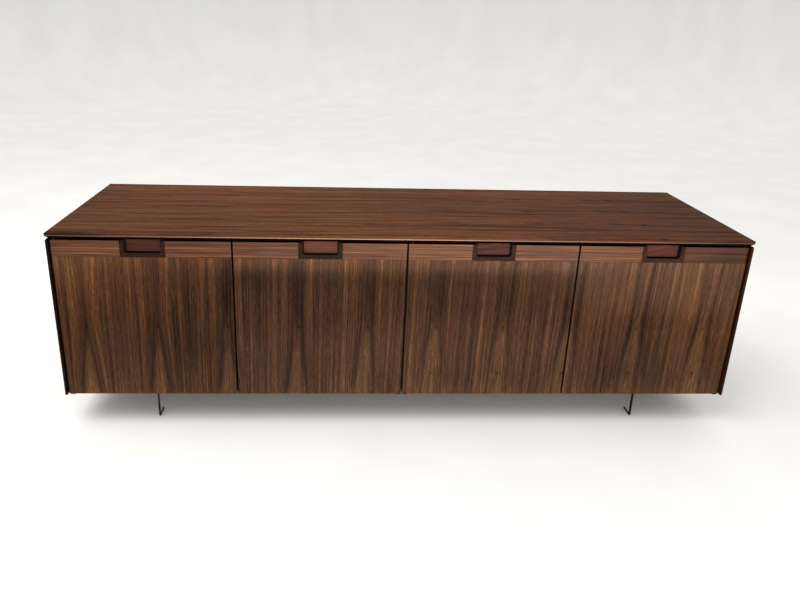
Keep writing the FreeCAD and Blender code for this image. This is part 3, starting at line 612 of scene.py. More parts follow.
@dataclass(frozen=True)
class TopVeneer:
    """Walnut veneer of the top, whose leaves run along the width and repeat across the depth.

    A mark is given as its place along and across, length, width, darkness and slope.
    """

    name: str
    leaf: float = 0.127
    upper_face: float = 0.559
    stain: Triple = (0.88, 0.755, 0.545)
    marks: tuple = (
        (-0.515, 0.006, 0.026, 0.005, 0.34, 0.32),
        (-0.700, -0.008, 0.035, 0.005, 0.18, 0.05),
        (0.130, 0.004, 0.050, 0.006, 0.24, 0.05),
        (0.372, 0.006, 0.014, 0.008, 0.24, 0.0),
        (0.605, 0.010, 0.030, 0.006, 0.24, -0.25),
        (0.672, 0.006, 0.010, 0.008, 0.42, 0.0),
        (0.100, -0.024, 0.500, 0.0026, 0.26, 0.0),
        (-0.100, -0.036, 0.400, 0.0020, 0.18, 0.0),
    )
    # Darker patches along the front edge: middle along and across, half widths and light.
    edge_streaks: tuple = (
        (-0.860, -0.250, 0.120, 0.016, -0.42),
        (-0.220, -0.243, 0.180, 0.005, -0.26),
        (0.860, -0.249, 0.070, 0.006, -0.22),
    )

    def material(self) -> Material:
        """Writes the veneer.

        Returns:
            The material.
        """
        paint = Paint(self.name)
        x, y, z = paint.place()
        leaf = (y / self.leaf + 0.5).whole()
        side = y - leaf * self.leaf + (z - self.upper_face)
        line = side + paint.cloud((x * 2.2, leaf * 0.4, 2.0)) * 0.010
        seed = leaf * 0.12
        bands = paint.cloud((x * 0.7, seed, line * 38.0), 2.0, 0.6)
        lines = paint.cloud((x * 2.0, seed + 5.0, line * 120.0), 3.0, 0.68)
        hairs = paint.cloud((x * 8.0, seed + 9.0, line * 600.0), 1.0)
        rings = paint.rings(line, seed, x, 0.013)
        swell = paint.cloud((x * 2.3, y * 3.0, 5.0), 1.0)
        flecks = paint.cloud((x * 36.0, seed + 17.0, line * 150.0), 3.0, 0.7)
        figure = bands * 0.56 + lines * 1.70 + hairs * 0.60 + rings * 0.20 + swell * 0.10
        tone = 0.500 + figure - figure.at_least(0.0) * 0.36 + flecks * 0.45
        # The top darkens towards its right end, painted shade away from the key lamp. It also
        # darkens
        # at the far left end and at the back edge, and lightens in a band across the depth.
        tone = tone - x.step(0.2, 0.95) * 0.085 - x.step(-0.7, -0.95) * 0.09
        tone = tone + (y - 0.185).bell(0.05) * 0.07 - y.step(0.236, 0.252) * 0.08
        for where, offset, long, wide, dark, slope in self.marks:
            nearby = x - where
            mark = nearby.bell(long) * (line - offset - nearby * slope).bell(wide)
            tone = tone - mark * dark * (1.5 + lines * 2.0)
        tone = paint.washed(tone, (x, y), self.edge_streaks)
        base = paint.shades(tone, WALNUT)
        base = paint.mixed(0.30, base, colour(160, 98, 60), "SOFT_LIGHT")
        base = paint.stained(base, self.stain)
        base, pores = paint.pored(base, (x * PORE_LONG, leaf, side * PORE_FINE))
        # Painted highlight: a light line along the lower edge of the nose, strongest near the
        # middle.
        nose_highlight = (z - self.upper_face + 0.0066).bell(0.0022) * (x + 0.02).bell(0.95)
        base = paint.mixed(nose_highlight * 0.68, base, colour(198, 161, 137))
        paint.relief(lines * 0.5 + hairs - pores * 0.5)
        return paint.surface(base=base, rough=0.34 + hairs * 0.2, ior=1.13)


@dataclass(frozen=True)
class SolidWalnut:
    """Solid walnut, cut on the slant, for the pulls; a plate has a painted lip highlight and
    shadow.
    """

    name: str
    dark: Triple
    light: Triple
    slant: float
    offset: float
    centre: float | None = None
    sill: float = 0.5045
    half_opening: float = 0.0460
    sill_shadow: float = 0.0020
    side_shadow: float = 0.0018
    blur: float = 0.0004

    def material(self) -> Material:
        """Writes the wood.

        Returns:
            The material.
        """
        paint = Paint(self.name)
        x, y, z = paint.place()
        wave = paint.cloud((x * 12.0, self.offset * 40.0, z * 8.0), 1.0) * 0.006
        line = z + x * self.slant + y * 0.5 + self.offset + wave
        bands = paint.cloud((x * 4.0, y * 4.0, line * 110.0), 2.0, 0.55)
        lines = paint.cloud((x * 8.0, y * 8.0, line * 520.0), 2.0, 0.6)
        tone = 0.5 + bands * 1.2 + lines * 0.6
        base = paint.shades(tone, {0.15: self.dark, 0.85: self.light})
        base, pores = paint.pored(base, (x * 150.0, y * 150.0, z * PORE_FINE), 0.12, 0.4)
        if self.centre is not None:
            # Painted highlight along the plate's lip, over painted shadow at the sill and along
            # the sides.
            lip_highlight = (z - self.sill - 0.0034).bell(0.0007) * 0.4
            base = paint.mixed(lip_highlight, base, colour(122, 92, 76))
            rise = self.sill + self.sill_shadow
            low = z.step(rise + self.blur, rise - self.blur)
            reach = self.half_opening - self.side_shadow
            far = (x - self.centre).size().step(reach - self.blur, reach + self.blur)
            base = paint.mixed(low.at_least(far) * 0.9, base, colour(7, 4, 3))
        paint.relief(lines * 0.6 - pores * 0.5, 0.00005)
        return paint.surface(base=base, rough=0.3 + lines * 0.16, ior=1.14)


@dataclass(frozen=True)
class Moulded:
    """A moulded plastic or rubber, faintly mottled and grained."""

    name: str
    shade: Triple
    second: Triple
    rough: float
    metal: float = 0.0
    gloss: float = 0.5
    grain: float = 2400.0
    grain_detail: float = 1.0
    grain_share: float = 0.15
    stretch: float = 1.0
    depth: float = 0.00004
    mottle: float = 60.0
    mottle_share: float = 0.0
    spread: float = 0.25

    def material(self) -> Material:
        """Writes the plastic, rubber or metal.

        Returns:
            The material.
        """
        paint = Paint(self.name)
        x, y, z = paint.place()
        spot = (x * self.grain, y * self.grain, z * (self.grain * self.stretch))
        fine = paint.cloud(spot, self.grain_detail)
        mottle = paint.cloud((x * self.mottle, y * self.mottle, z * self.mottle))
        stops = {0.5 - self.spread: self.shade, 0.5 + self.spread: self.second}
        base = paint.shades(mottle + 0.5, stops)
        paint.relief(fine, self.depth)
        rough = self.rough + fine * self.grain_share + mottle * self.mottle_share
        return paint.surface(base=base, rough=rough, metal=self.metal, gloss=self.gloss)


@dataclass(frozen=True)
class Metal(Moulded):
    """A metal finish, from powder coat to bright plate, with uneven wear."""

    grain_detail: float = 2.0
    grain_share: float = 0.12
    mottle: float = 22.0
    mottle_share: float = 0.1
    spread: float = 0.2


class Finishes:
    """Every finish of the credenza, written once and handed to the pieces by name."""

    def __init__(self) -> None:
        """Writes the materials."""
        on_side = Grain.ALONG_HEIGHT_ON_SIDE
        steel = {"grain": 1500.0, "gloss": 0.25}
        finishes = [
            CrownVeneer("walnut_door", Grain.ALONG_HEIGHT, -0.8395, 0.1849, 0.0955, 0.494,
                        washes=DOOR_TONES_AND_PAINTED_LIGHT, shade=0.12, inner_face=-0.225),
            CrownVeneer("walnut_back", Grain.ALONG_HEIGHT, -0.74, 0.205, 0.0935, 0.545, 0.7,
                        rough=0.46, ior=1.2),
            CrownVeneer("walnut_ends", on_side, -0.19, 0.17, 0.0935, 0.545, 0.8,
                        rough=0.46, ior=1.2),
            StraightVeneer("walnut_rail", Grain.ALONG_WIDTH_UPRIGHT, 0.4, 0.14, 1.15, 0.2,
                           (0.69, 0.66, 0.655), washes=RAIL_PAINTED_LIGHT_AND_JOINT, rosy=1.0),
            StraightVeneer("carcass_board_flat", Grain.ALONG_WIDTH, 0.24, -0.05, 0.7, rough=0.42),
            StraightVeneer("carcass_board_upright", on_side, 0.22, -0.05, 0.7, rough=0.42),
            # Painted shade: darker edges for the end panels' fronts and inner faces and the
            # doors' edges,
            # which lie in shade in the gaps.
            StraightVeneer("dark_edge_left", on_side, 0.4, -0.34, 0.5,
                           stain=(0.45, 0.43, 0.43), ior=1.12),
            StraightVeneer("dark_edge_right", on_side, 0.4, -0.26, 0.5,
                           stain=(0.56, 0.52, 0.50), ior=1.15),
            # Painted shade: near-black stain on the undersides of the top's nose, where shade
            # falls.
            StraightVeneer("dark_nose", Grain.ALONG_WIDTH_UPRIGHT, 0.4, -0.36, 0.4,
                           stain=(0.22, 0.20, 0.19), ior=1.1),
            TopVeneer("walnut_top"),
            Metal("black_steel", (8, 8, 9), (14, 14, 15), 0.55, depth=0.00006, **steel),
            Metal("bronzed_steel", (12, 9, 7), (18, 13, 10), 0.7, **steel),
            Metal("zinc_steel", (176, 178, 182), (150, 153, 160), 0.32, 1.0, grain=900.0,
                  depth=0.00002),
            Metal("brass", (122, 92, 54), (100, 74, 42), 0.42, 1.0, grain=700.0, stretch=6.0,
                  depth=0.00002),
            Moulded("glide_plastic", (26, 26, 27), (38, 38, 39), 0.5),
            Moulded("catch_plastic", (58, 44, 36), (70, 54, 45), 0.42),
            Moulded("bumper_rubber", (196, 198, 196), (178, 180, 178), 0.3),
            # Painted shadow: near-black for the walls of the pulls' openings, the plates behind
            # their
            # fields and the carcass fronts seen in the reveals.
            Moulded("recess_black", (5, 3, 2), (9, 6, 5), 0.9),
            Moulded("black_reveal", (10, 7, 5), (16, 11, 9), 0.85),
        ]
        for number, (surround, plate) in enumerate(PULL_SHADES, 1):
            centre = (number - (DOOR_COUNT + 1) / 2) * PULL_PITCH
            finishes += [
                SolidWalnut(f"solid_walnut_pull_{number}", *surround, 0.05, 0.011 * number),
                SolidWalnut(f"solid_walnut_plate_{number}", *plate, 0.2 - 0.12 * number,
                            0.017 * number, centre),
            ]
        self.made = {finish.name: finish.material() for finish in finishes}

    def __getitem__(self, name: str) -> Material:
        """The material of that name."""
        return self.made[name]


def link(name: str, data: object) -> Object:
    """A new object in the scene.

    Args:
        name: The object's name.
        data: Its mesh, light or camera.

    Returns:
        The object.
    """
    thing = bpy.data.objects.new(name, data)
    bpy.context.scene.collection.objects.link(thing)
    return thing


def settle(piece: Object, node: str) -> None:
    """Puts a finished piece in the place of a CAD node.

    Args:
        piece: The piece.
        node: The node.
    """
    mesh = piece.data
    while mesh.uv_layers:
        mesh.uv_layers.remove(mesh.uv_layers[0])
    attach(piece, body_of(frame["nodes"][node])[0])
    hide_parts(node)
    LOG.info("%s: %d faces", piece.name, len(mesh.polygons))


def merged(mesh: Mesh) -> bmesh.types.BMesh:
    """A mesh opened for edits.

    Args:
        mesh: The mesh, of loose triangles.

    Returns:
        The open mesh, with its triangles joined.
    """
    shape = bmesh.new()
    shape.from_mesh(mesh)
    bmesh.ops.remove_doubles(shape, verts=shape.verts, dist=MERGE)
    return shape


@dataclass
class Piece:
    """A CAD node's solid with its edges eased and a finish laid on."""

    node: str
    finish: str
    slot: str = ""
    ease: float = 0.0005
    steps: int = 2
    shade_finish: str = ""
    shaded: Callable[[Vector, Vector], bool] | None = None
    shortest: float = 0.0

    def build(self, finishes: Finishes) -> None:
        """Makes the piece and gives it the node's place.

        Args:
            finishes: The finishes to take from.
        """
        mesh = frame["nodes"][self.node].data.copy()
        mesh.name = f"{self.node}_eased"
        mesh.materials.clear()
        for name in filter(None, (self.finish, self.shade_finish)):
            mesh.materials.append(finishes[name])
        shape = merged(mesh)
        bmesh.ops.dissolve_limit(shape, angle_limit=FLAT, verts=shape.verts, edges=shape.edges)
        # The faces that shaded picks take the second finish, which paints shade on them.
        for face in shape.faces:
            dark = self.shaded and self.shaded(face.normal, face.calc_center_median())
            face.material_index = 1 if dark else 0
        weight = shape.edges.layers.float.new("bevel_weight_edge")
        for edge in shape.edges:
            corner = edge.calc_face_angle(0.0) > CORNER
            edge[weight] = 1.0 if corner and edge.calc_length() > self.shortest else 0.0
        shape.to_mesh(mesh)
        shape.free()
        # The solid's own normals are dropped, so that broad faces shade quite flat.
        if "custom_normal" in mesh.attributes:
            mesh.attributes.remove(mesh.attributes["custom_normal"])
        mesh.set_sharp_from_angle(angle=CORNER)
        for face in mesh.polygons:
            face.use_smooth = face.area < BROAD_FACE
        piece = link(mesh.name, mesh)
        bevel = piece.modifiers.new("eased", "BEVEL")
        bevel.limit_method = "WEIGHT"
        bevel.width = self.ease
        bevel.segments = self.steps
        bevel.use_clamp_overlap = True
        bevel.harden_normals = True
        settle(piece, self.node)


class Shaper:
    """A writer of one Geometry Nodes tree, with a named input for each of its sizes."""

    def __init__(self, name: str) -> None:
        """Starts the tree with its way in and its way out.

        Args:
            name: The tree's name.
        """
        self.tree = bpy.data.node_groups.new(name, "GeometryNodeTree")
        self.tree.is_modifier = True
        for way in ("INPUT", "OUTPUT"):
            self.tree.interface.new_socket(
                "Geometry", in_out=way, socket_type="NodeSocketGeometry"
            )
        self.inlet = add(self.tree, "NodeGroupInput")
        self.outlet = add(self.tree, "NodeGroupOutput")
        self.given = {}

    def size(self, name: str, value: object, kind: str = "NodeSocketFloat") -> Value:
        """Adds a named input.

        Args:
            name: The input's name.
            value: What the modifier gives it.
            kind: The kind of its socket.

        Returns:
            The input, for use inside the tree.
        """
        socket = self.tree.interface.new_socket(name, in_out="INPUT", socket_type=kind)
        self.given[socket.identifier] = value
        return Value(self.tree, self.inlet.outputs[name])

    def sizes(self, **metres: float) -> list[Value]:
        """Named inputs in millimetres, one for each length in metres."""
        return [self.size(name.replace("_", " ").title(), length / MM)
                for name, length in metres.items()]

    def node(self, kind: str, inputs: dict, **options: object) -> NodeSocket:
        """What a new geometry node gives out first; add says what it takes."""
        return add(self.tree, f"GeometryNode{kind}", inputs, **options).outputs[0]

    def vector(self, x: object, y: object, z: object) -> NodeSocket:
        """Three numbers as one vector."""
        return add(self.tree, "CombineXYZ", (x, y, z)).outputs[0]

    def by_index(self, terms: tuple) -> NodeSocket:
        """The term that belongs to a point's index.

        Args:
            terms: The terms in order.

        Returns:
            The chosen term.
        """
        index = self.node("InputIndex", {})
        choice = add(self.tree, "GeometryNodeIndexSwitch", {"Index": index}, data_type="FLOAT")
        while len(choice.index_switch_items) < len(terms):
            choice.index_switch_items.new()
        for place, term in enumerate(terms):
            feed(self.tree, term, choice.inputs[str(place)])
        return choice.outputs["Output"]

    def swept(self, path: NodeSocket, outline: NodeSocket, **more: object) -> NodeSocket:
        """A closed solid that an outline makes along a path; more are other inputs."""
        inputs = {"Curve": path, "Profile Curve": outline, "Fill Caps": True, **more}
        return self.node("CurveToMesh", inputs)

    def ring(self, sides: int, radius: object) -> NodeSocket:
        """A round outline with that many sides."""
        inputs = {"Resolution": sides, "Radius": radius}
        return self.node("CurvePrimitiveCircle", inputs)

    def turned(self, stations: list[tuple], sides: int = 20) -> NodeSocket:
        """A closed solid turned about Z.

        Args:
            stations: The height and the radius of each ring, from the bottom up.
            sides: The number of its sides.

        Returns:
            The solid.
        """
        heights, radii = zip(*stations)
        row = self.node("MeshLine", {"Count": len(stations)})
        line = self.node("MeshToCurve", {"Mesh": row})
        heights = self.vector(0.0, 0.0, self.by_index(heights))
        path = self.node("SetPosition", {"Geometry": line, "Position": heights})
        return self.swept(path, self.ring(sides, 1.0), Scale=self.by_index(radii))

    def plain_mesh(self, points: Mesh, shape: NodeSocket, finish: Material) -> Mesh:
        """Ends the tree, runs it on the points and keeps the result as a plain mesh.

        Args:
            points: The mesh that the modifier works on.
            shape: The geometry to give out.
            finish: The finish to set.

        Returns:
            The mesh.
        """
        real = self.node("RealizeInstances", {"Geometry": shape})
        coat = self.size("Finish", finish, "NodeSocketMaterial")
        coated = self.node("SetMaterial", {"Geometry": real, "Material": coat})
        feed(self.tree, coated, self.outlet.inputs["Geometry"])
        host = link(self.tree.name, points)
        rule = host.modifiers.new(self.tree.name, "NODES")
        rule.node_group = self.tree
        for key, value in self.given.items():
            rule[key] = value
        graph = bpy.context.evaluated_depsgraph_get()
        mesh = bpy.data.meshes.new_from_object(host.evaluated_get(graph), depsgraph=graph)
        host.modifiers.remove(rule)
        bpy.data.objects.remove(host)
        return mesh


@dataclass(frozen=True)
class Seat:
    """Where a round fitting sits in its hole, read from its solid."""

    place: Vector
    direction: Vector
    length: float
    head: float
    shank: float


def seat_of(points: list[Vector]) -> Seat:
    """Reads the seat of one solid.

    Args:
        points: The solid's corners.

    Returns:
        The seat, whose place is the middle of the wider end.
    """
    low, high = (Vector(map(pick, zip(*points))) for pick in (min, max))
    size = high - low
    axis = max(range(3), key=lambda k: size[k])
    place = (low + high) / 2

    def end_radius(level: float) -> float:
        """The radius of the end face at a level of the axis."""
        ends = [point - place for point in points if abs(point[axis] - level) < MM / 10]
        return max(math.hypot(*(out[k] for k in range(3) if k != axis)) for out in ends)

    outer, inner = sorted((low[axis], high[axis]), key=end_radius, reverse=True)
    head, shank = end_radius(outer), end_radius(inner)
    place[axis] = outer
    direction = Vector((0.0, 0.0, 0.0))
    direction[axis] = math.copysign(1.0, inner - outer)
    return Seat(place, direction, size[axis], head, shank)


def seats(node: str) -> list[Seat]:
    """The seats of the round fittings of a CAD node, one for each of its solids.

    Args:
        node: The node's name.

    Returns:
        The seats.
    """
    shape = merged(frame["nodes"][node].data)
    found = []
    left = set(shape.verts)
    for corner in shape.verts:
        if corner not in left:
            continue
        left.discard(corner)
        solid = [corner]
        for reached in solid:
            for edge in reached.link_edges:
                other = edge.other_vert(reached)
                if other in left:
                    left.discard(other)
                    solid.append(other)
        found.append(seat_of([point.co.copy() for point in solid]))
    shape.free()
    return found


@dataclass(frozen=True)
class FittingRow:
    """Round fittings that Geometry Nodes set at the seats of one CAD node."""

    node: str
    slot: str = "zinc_steel"
    seed: int = 7

    def build(self, finishes: Finishes) -> None:
        """Makes the fittings as one plain mesh.

        Args:
            finishes: The finishes to take from.
        """
        row = seats(self.node)
        points = bpy.data.meshes.new(f"{self.node}_seats")
        points.from_pydata([seat.place for seat in row], [], [])
        turns = points.attributes.new("turn", "FLOAT_VECTOR", "POINT")
        for turn, seat in zip(turns.data, row):
            turn.vector = tuple(seat.direction.to_track_quat("Z", "Y").to_euler())
        shaper = Shaper(f"{self.node}_rule")
        fitting = shaper.node("Transform", {
            "Geometry": self.shape(shaper, row[0]), "Scale": (MM, MM, MM),
        })
        placed = shaper.node("InstanceOnPoints", {
            "Points": shaper.inlet.outputs["Geometry"],
            "Instance": fitting,
            "Rotation": shaper.node(
                "InputNamedAttribute", {"Name": "turn"}, data_type="FLOAT_VECTOR"
            ),
        })
        spin = add(shaper.tree, "FunctionNodeRandomValue", {"Seed": self.seed}, data_type="FLOAT")
        angle = Value(shaper.tree, spin.outputs[1]) * math.tau
        turned = shaper.node("RotateInstances", {
            "Instances": placed, "Rotation": shaper.vector(0.0, 0.0, angle),
        })
        mesh = shaper.plain_mesh(points, turned, finishes[self.slot])
        mesh.name = f"{self.node}_turned"
        mesh.shade_smooth()
        mesh.set_sharp_from_angle(angle=CORNER)
        settle(link(mesh.name, mesh), self.node)

    def shape(self, shaper: Shaper, seat: Seat) -> NodeSocket:
        """The fitting itself in millimetres, from its outer face at the origin up along Z."""
        raise NotImplementedError


@dataclass(frozen=True)
class ScrewRow(FittingRow):
    """Threaded screws with a recess for the driver."""

    drive: Drive = Drive.CROSS
    head_height: float = 0.002
    crown: float = 0.95
    rim: float = 0.00015
    flat: bool = True

    def shape(self, shaper: Shaper, seat: Seat) -> NodeSocket:
        """One screw.

        Args:
            shaper: The writer of the tree.
            seat: The seat whose sizes it takes.

        Returns:
            The screw's geometry.
        """
        head, height, rim, shank, length, pitch, span, arm, depth = shaper.sizes(
            head_radius=seat.head, head_height=self.head_height, rim_height=self.rim,
            shank_radius=seat.shank, length=seat.length, thread_pitch=seat.shank * 0.9,
            recess_span=seat.head * 1.15, recess_arm=seat.head * 0.24,
            recess_depth=self.head_height * 0.6,
        )
        crown = shaper.size("Crown Share", self.crown)
        core = shank * 0.74
        tip = core * 2.2
        blank = shaper.turned([
            (0.0, head * crown), (rim, head), (height, shank if self.flat else head),
            (height + 0.02, core), (length - tip, core), (length, core * 0.12),
        ])
        if self.drive is Drive.HEX:
            recess = [shaper.turned([(depth * -1.0, span * 0.5), (depth, span * 0.5)], 6)]
        else:
            bars = ((span, arm, depth * 2.0), (arm, span, depth * 2.1))
            recess = [shaper.node("MeshCube", {"Size": shaper.vector(*bar)}) for bar in bars]
        cut = shaper.node("MeshBoolean", {"Mesh 1": blank, "Mesh 2": recess},
                          operation="DIFFERENCE")
        run = length - height - tip
        helix = shaper.node("CurveSpiral", {
            "Resolution": 10, "Rotations": run / pitch, "Start Radius": core,
            "End Radius": core, "Height": run,
        })
        raised = shaper.node("Transform", {
            "Geometry": helix, "Translation": shaper.vector(0.0, 0.0, height),
        })
        steady = shaper.node("SetCurveNormal", {"Curve": raised}, mode="Z_UP")
        thread = shaper.swept(steady, shaper.ring(3, shank - core))
        return shaper.node("JoinGeometry", {"Geometry": [cut, thread]})


@dataclass(frozen=True)
class PegRow(FittingRow):
    """Turned shelf pegs with a groove round the middle and eased ends."""

    ease: float = 0.0006
    groove: float = 0.0004

    def shape(self, shaper: Shaper, seat: Seat) -> NodeSocket:
        """One peg.

        Args:
            shaper: The writer of the tree.
            seat: The seat whose sizes it takes.

        Returns:
            The peg's geometry.
        """
        radius, length, ease, groove = shaper.sizes(
            radius=seat.shank, length=seat.length, ease=self.ease, groove_depth=self.groove
        )
        middle = length * 0.5
        return shaper.turned([
            (0.0, radius - ease), (ease * 0.3, radius - ease * 0.3), (ease, radius),
            (middle - groove * 2.0, radius), (middle - groove, radius - groove),
            (middle + groove, radius - groove), (middle + groove * 2.0, radius),
            (length - ease, radius), (length - ease * 0.3, radius - ease * 0.3),
            (length, radius - ease),
        ])


def faces_front(normal: Vector, _: Vector) -> bool:
    """Whether a face looks to the front."""
    return normal.y < -LEANING


def faces_sideways(normal: Vector, _: Vector) -> bool:
    """Whether a face is an upright side or an upper edge."""
    return abs(normal.x) > LEANING or normal.z > LEANING


class SubAssembly:
    """Pieces that belong together and are dressed together."""

    def parts(self) -> list[Piece | FittingRow]:
        """The pieces, in the order in which they are dressed."""
        raise NotImplementedError

    def build(self, finishes: Finishes) -> None:
        """Dresses the pieces with the finishes."""
        for part in self.parts():
            part.build(finishes)


@dataclass
class Casework(SubAssembly):
    """The top, the ends, the carcass boards, the back and the shelves."""

    edge: float = 0.0005
    top_edge: float = 0.0006
    least: float = 0.01
    undercut: float = 0.3

    def parts(self) -> list[Piece]:
        """The boards with their finishes.

        Returns:
            The boards.
        """
        flat, upright, board = "carcass_board_flat", "carcass_board_upright", "carcass_board"
        # The carcass fronts in the reveals take painted shadow.
        front_shadow_finish = {"shade_finish": "black_reveal", "shaded": faces_front}
        least = {"shortest": self.least}
        # The top's undersides take painted shade.
        parts = [Piece("top_panel", "walnut_top", "", self.top_edge, 3, "dark_nose",
                       lambda normal, _: normal.z < -self.undercut, **least)]
        for side, inwards in (("left", 1.0), ("right", -1.0)):

            # The end panels' front and inner faces take painted shade.
            def shows_dark(normal: Vector, _: Vector, inwards: float = inwards) -> bool:
                """Whether a face of an end panel looks to the front or to the doors."""
                return normal.y < -LEANING or normal.x * inwards > LEANING

            parts += [
                Piece(f"end_panel_{side}", "walnut_ends", "", self.edge,
                      shade_finish=f"dark_edge_{side}", shaded=shows_dark, **least),
                Piece(f"case_side_{side}", upright, board, self.edge, **front_shadow_finish, **least),
                Piece(f"shelf_{side}", flat, board, self.edge),
            ]
        return parts + [
            Piece("bottom_board", flat, board, self.edge, **least),
            Piece("sub_top_board", flat, board, self.edge, **front_shadow_finish, **least),
            Piece("centre_partition", upright, board, self.edge, **least),
            Piece("back_panel", "walnut_back", "", self.edge, **least),
        ]


@dataclass
class Door(SubAssembly):
    """One door: its veneered panel, its rails and its solid pull."""

    number: int
    edge: float = 0.0004
    small_edge: float = 0.0002
    arm: float = 0.004
    lip: float = 0.002
    field_step: float = 0.001

    def parts(self) -> list[Piece]:
        """The door's pieces with their finishes.

        Returns:
            The pieces.
        """
        name = f"door_{self.number}"
        low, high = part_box(f"{name}_pull_frame")
        plate_low, plate_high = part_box(f"{name}_pull_plate")

        def in_recess(normal: Vector, middle: Vector) -> bool:
            """Whether a face of the pull surround is a wall of its opening.

            Args:
                normal: The face's normal.
                middle: The face's middle.

            Returns:
                Whether it's a wall.
            """
            across = low[0] + self.arm < middle.x < high[0] - self.arm
            inside = across and middle.z > low[2] + self.arm
            return middle.y > low[1] + self.lip and (inside or abs(normal.y) > LEANING)

        def behind_field(_: Vector, middle: Vector) -> bool:
            """Whether a face of the back plate lies behind its raised field."""
            step = self.field_step
            return middle.y > plate_low[1] + step and middle.z < plate_high[2] - step

        # The doors' side and upper edges take painted shade.
        side_shade_finish = {"shade_finish": "dark_edge_left", "shaded": faces_sideways}
        # The walls of the pull's opening and the plate behind its field take painted shadow.
        recess_shadow_finish = {"ease": self.edge, "shade_finish": "recess_black"}
        return [
            Piece(f"{name}_panel", "walnut_door", "", self.edge, **side_shade_finish),
            Piece(f"{name}_rail_left", "walnut_rail", "", self.edge, **side_shade_finish),
            Piece(f"{name}_rail_right", "walnut_rail", "", self.edge, **side_shade_finish),
            Piece(f"{name}_pull_frame", f"solid_walnut_pull_{self.number}", "solid_walnut_pull",
                  shaded=in_recess, **recess_shadow_finish),
            Piece(f"{name}_pull_plate", f"solid_walnut_plate_{self.number}", "solid_walnut_plate",
                  shaded=behind_field, **recess_shadow_finish),
            Piece(f"{name}_bushes", "brass", "", self.small_edge),
            Piece(f"{name}_strike", "zinc_steel", "", self.small_edge),
        ]


@dataclass
class Fittings(SubAssembly):
    """Hinge plates and pins, catches, pegs, bumpers and screws."""

    edge: float = 0.0002
    bumper_dome: float = 0.0011
    small_head: float = 0.0013
    small_rim: float = 0.0001
    leg_crown: float = 0.72
    leg_rim: float = 0.0009

    def parts(self) -> list[Piece | FittingRow]:
        """The fittings with their finishes.

        Returns:
            The fittings.
        """
        return [
            *(Piece(node, "bronzed_steel", "black_steel", self.edge)
              for node in ("pivot_plates_lower", "pivot_plates_upper", "pivot_pins")),
            Piece("catches", "catch_plastic", "", self.edge),
            Piece("door_bumpers", "bumper_rubber", "", self.bumper_dome, 4),
            *(ScrewRow(node)
              for node in ("carcass_screws", "end_panel_screws", "top_screws", "back_screws")),
            *(ScrewRow(node, head_height=self.small_head, rim=self.small_rim)
              for node in ("pivot_screws", "catch_screws")),
            ScrewRow("leg_screws", drive=Drive.HEX, crown=self.leg_crown, rim=self.leg_rim,
                     flat=False),
            PegRow("shelf_pegs"),
        ]


@dataclass
class Legs(SubAssembly):
    """The four blade legs and their glides."""

    edge: float = 0.0004
    glide_edge: float = 0.0003

    def parts(self) -> list[Piece]:
        """The legs and glides with their finishes.

        Returns:
            The pieces.
        """
        places = [f"leg_{end}_{side}" for end in ("front", "rear") for side in ("left", "right")]
        legs = [Piece(place, "black_steel", "", self.edge) for place in places]
        return [*legs, Piece("glide_pads", "glide_plastic", "", self.glide_edge)]


@dataclass(frozen=True)
class SoftBox:
    """A soft light that hangs at its seat and faces its aim, or else lies face up.

    Its power is in watts. A light that isn't soft shows only in the gloss of what it faces.
    """

    name: str
    seat: Triple
    wide: float
    tall: float
    power: float
    aim: Triple | None = None
    shade: Triple = (1.0, 0.97, 0.93)
    soft: bool = True

    def build(self) -> None:
        """Hangs the light, out of the camera's sight."""
        lamp = bpy.data.lights.new(self.name, "AREA")
        lamp.shape = "RECTANGLE"
        lamp.size = self.wide
        lamp.size_y = self.tall
        lamp.energy = self.power
        lamp.color = self.shade
        hung = link(self.name, lamp)
        hung.location = self.seat
        ahead = Vector(self.aim) - hung.location if self.aim else Vector((0.0, 0.0, 1.0))
        hung.rotation_euler = ahead.to_track_quat("-Z", "Y").to_euler()
        hung.visible_camera = False
        hung.visible_diffuse = self.soft


@dataclass
class Floor:
    """The pale floor, which sweeps up far away."""

    size: float = 6.5
    sweep: float = 1.5
    sides: int = 96
    steps: int = 12

    def build(self) -> None:
        """Lays the floor."""
        rings = [(self.size * share, 0.0) for share in (0.1, 0.3, 0.6, 1.0)]
        for step in range(1, self.steps + 1):
            turn = math.radians(90 * step / self.steps)
            rings.append((self.size + self.sweep * math.sin(turn),
                          self.sweep * (1 - math.cos(turn))))
        turns = [math.tau * number / self.sides for number in range(self.sides)]
        points = [(0.0, 0.0, 0.0)]
        points += [(radius * math.cos(turn), radius * math.sin(turn), height)
                   for radius, height in rings for turn in turns]
        pairs = [(k, (k + 1) % self.sides) for k in range(self.sides)]
        faces = [(0, 1 + here, 1 + after) for here, after in pairs]
        for low in range(1, len(points) - self.sides, self.sides):
            high = low + self.sides
            faces += [(low + here, high + here, high + after, low + after)
                      for here, after in pairs]
        mesh = bpy.data.meshes.new("floor")
        mesh.from_pydata(points, [], faces)
        mesh.shade_smooth()
        floor = link("floor", mesh)
        floor.visible_glossy = False
        paint = Paint("pale_floor")
        x, y, _ = paint.place()
        speck = paint.cloud((x * 3.0, y * 3.0, 0.0))
        base = paint.shades(speck + 0.5, {0.3: (236, 236, 235), 0.7: (242, 242, 241)})
        mesh.materials.append(paint.surface(base=base, rough=0.85, gloss=0.1))


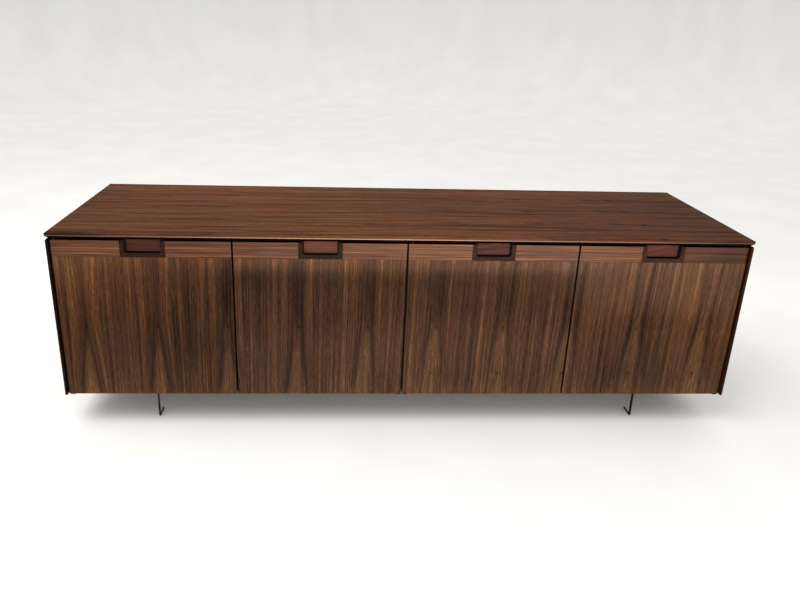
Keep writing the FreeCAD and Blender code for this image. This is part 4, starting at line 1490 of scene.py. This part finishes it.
@dataclass
class Studio:
    """The pale floor, the soft lights and the camera, whose turns are in degrees."""

    seat: Triple = (-0.180186, -1.864167, 1.098559)
    yaw: float = 2.9763
    pitch: float = -18.4896
    roll: float = 1.6374
    lens: float = 29.987
    sensor: float = 36.0
    shift: tuple[float, float] = (0.03573, -0.07888)
    reach: float = 200.0

    def build(self) -> None:
        """Sets the studio up."""
        Floor().build()
        self._world()
        warm = {"shade": (1.0, 0.74, 0.58)}
        for light in (
            SoftBox("key", (-1.7, -1.0, 3.2), 3.0, 2.2, 78.0, (0.0, 0.1, 0.4)),
            SoftBox("front_strip", (0.0, -4.2, 1.3), 4.0, 0.7, 34.0, (0.0, 0.0, 0.5)),
            SoftBox("under_fill", (0.0, 1.3, 0.22), 2.6, 0.3, 9.0, (0.0, 0.2, 0.0)),
            SoftBox("near_bounce", (0.0, -0.57, 0.004), 2.1, 0.54, 1.9594, soft=False),
            SoftBox("far_bounce", (0.0, -2.455, 0.01), 5.0, 2.09, 65.6593, **warm),
            SoftBox("middle_bounce", (0.3, -2.025, 0.02), 1.8, 1.15, 33.8161, **warm),
            SoftBox("right_bounce", (1.5, -1.285, 0.03), 1.4, 0.67, 7.0724, **warm),
        ):
            light.build()
        self._camera()

    def _world(self) -> None:
        """Gives a soft sky that is darkest low behind the credenza."""
        world = bpy.data.worlds.new("studio")
        world.use_nodes = True
        bpy.context.scene.world = world
        tree = world.node_tree
        split = add(tree, "SeparateXYZ", (add(tree, "TexCoord").outputs["Generated"],))
        _, back, up = (Value(tree, part) for part in split.outputs)
        strength = 0.10 + up.step(0.12, 0.8) * 0.95 + back.step(0.1, -0.8) * 0.20
        seen = Value(tree, add(tree, "LightPath").outputs["Is Camera Ray"])
        strength = strength * (1.0 - seen) + seen * 0.88
        sky = tree.nodes["Background"]
        feed(tree, strength, sky.inputs["Strength"])
        sky.inputs["Color"].default_value = (1.0, 0.985, 0.96, 1.0)

    def _camera(self) -> None:
        """Places the camera."""
        place = Matrix.Translation(self.seat)
        for turn, axis in ((-self.yaw, "Z"), (90 + self.pitch, "X"), (self.roll, "Z")):
            place = place @ Matrix.Rotation(math.radians(turn), 4, axis)
        eye = bpy.data.cameras.new("camera")
        eye.sensor_width = self.sensor
        eye.lens = self.lens
        eye.shift_x, eye.shift_y = self.shift
        eye.clip_end = self.reach
        camera = link("camera", eye)
        camera.matrix_world = place
        bpy.context.scene.camera = camera
        bpy.context.scene.view_settings.view_transform = "Standard"


def main() -> None:
    """Builds the studio, then each sub-assembly in order."""
    logging.basicConfig(level=logging.INFO, format="%(name)s %(message)s", stream=sys.stdout)
    Studio().build()
    finishes = Finishes()
    doors = [Door(number) for number in range(1, DOOR_COUNT + 1)]
    for group in (Casework(), *doors, Fittings(), Legs()):
        group.build(finishes)


if __name__ == "__main__":
    main()
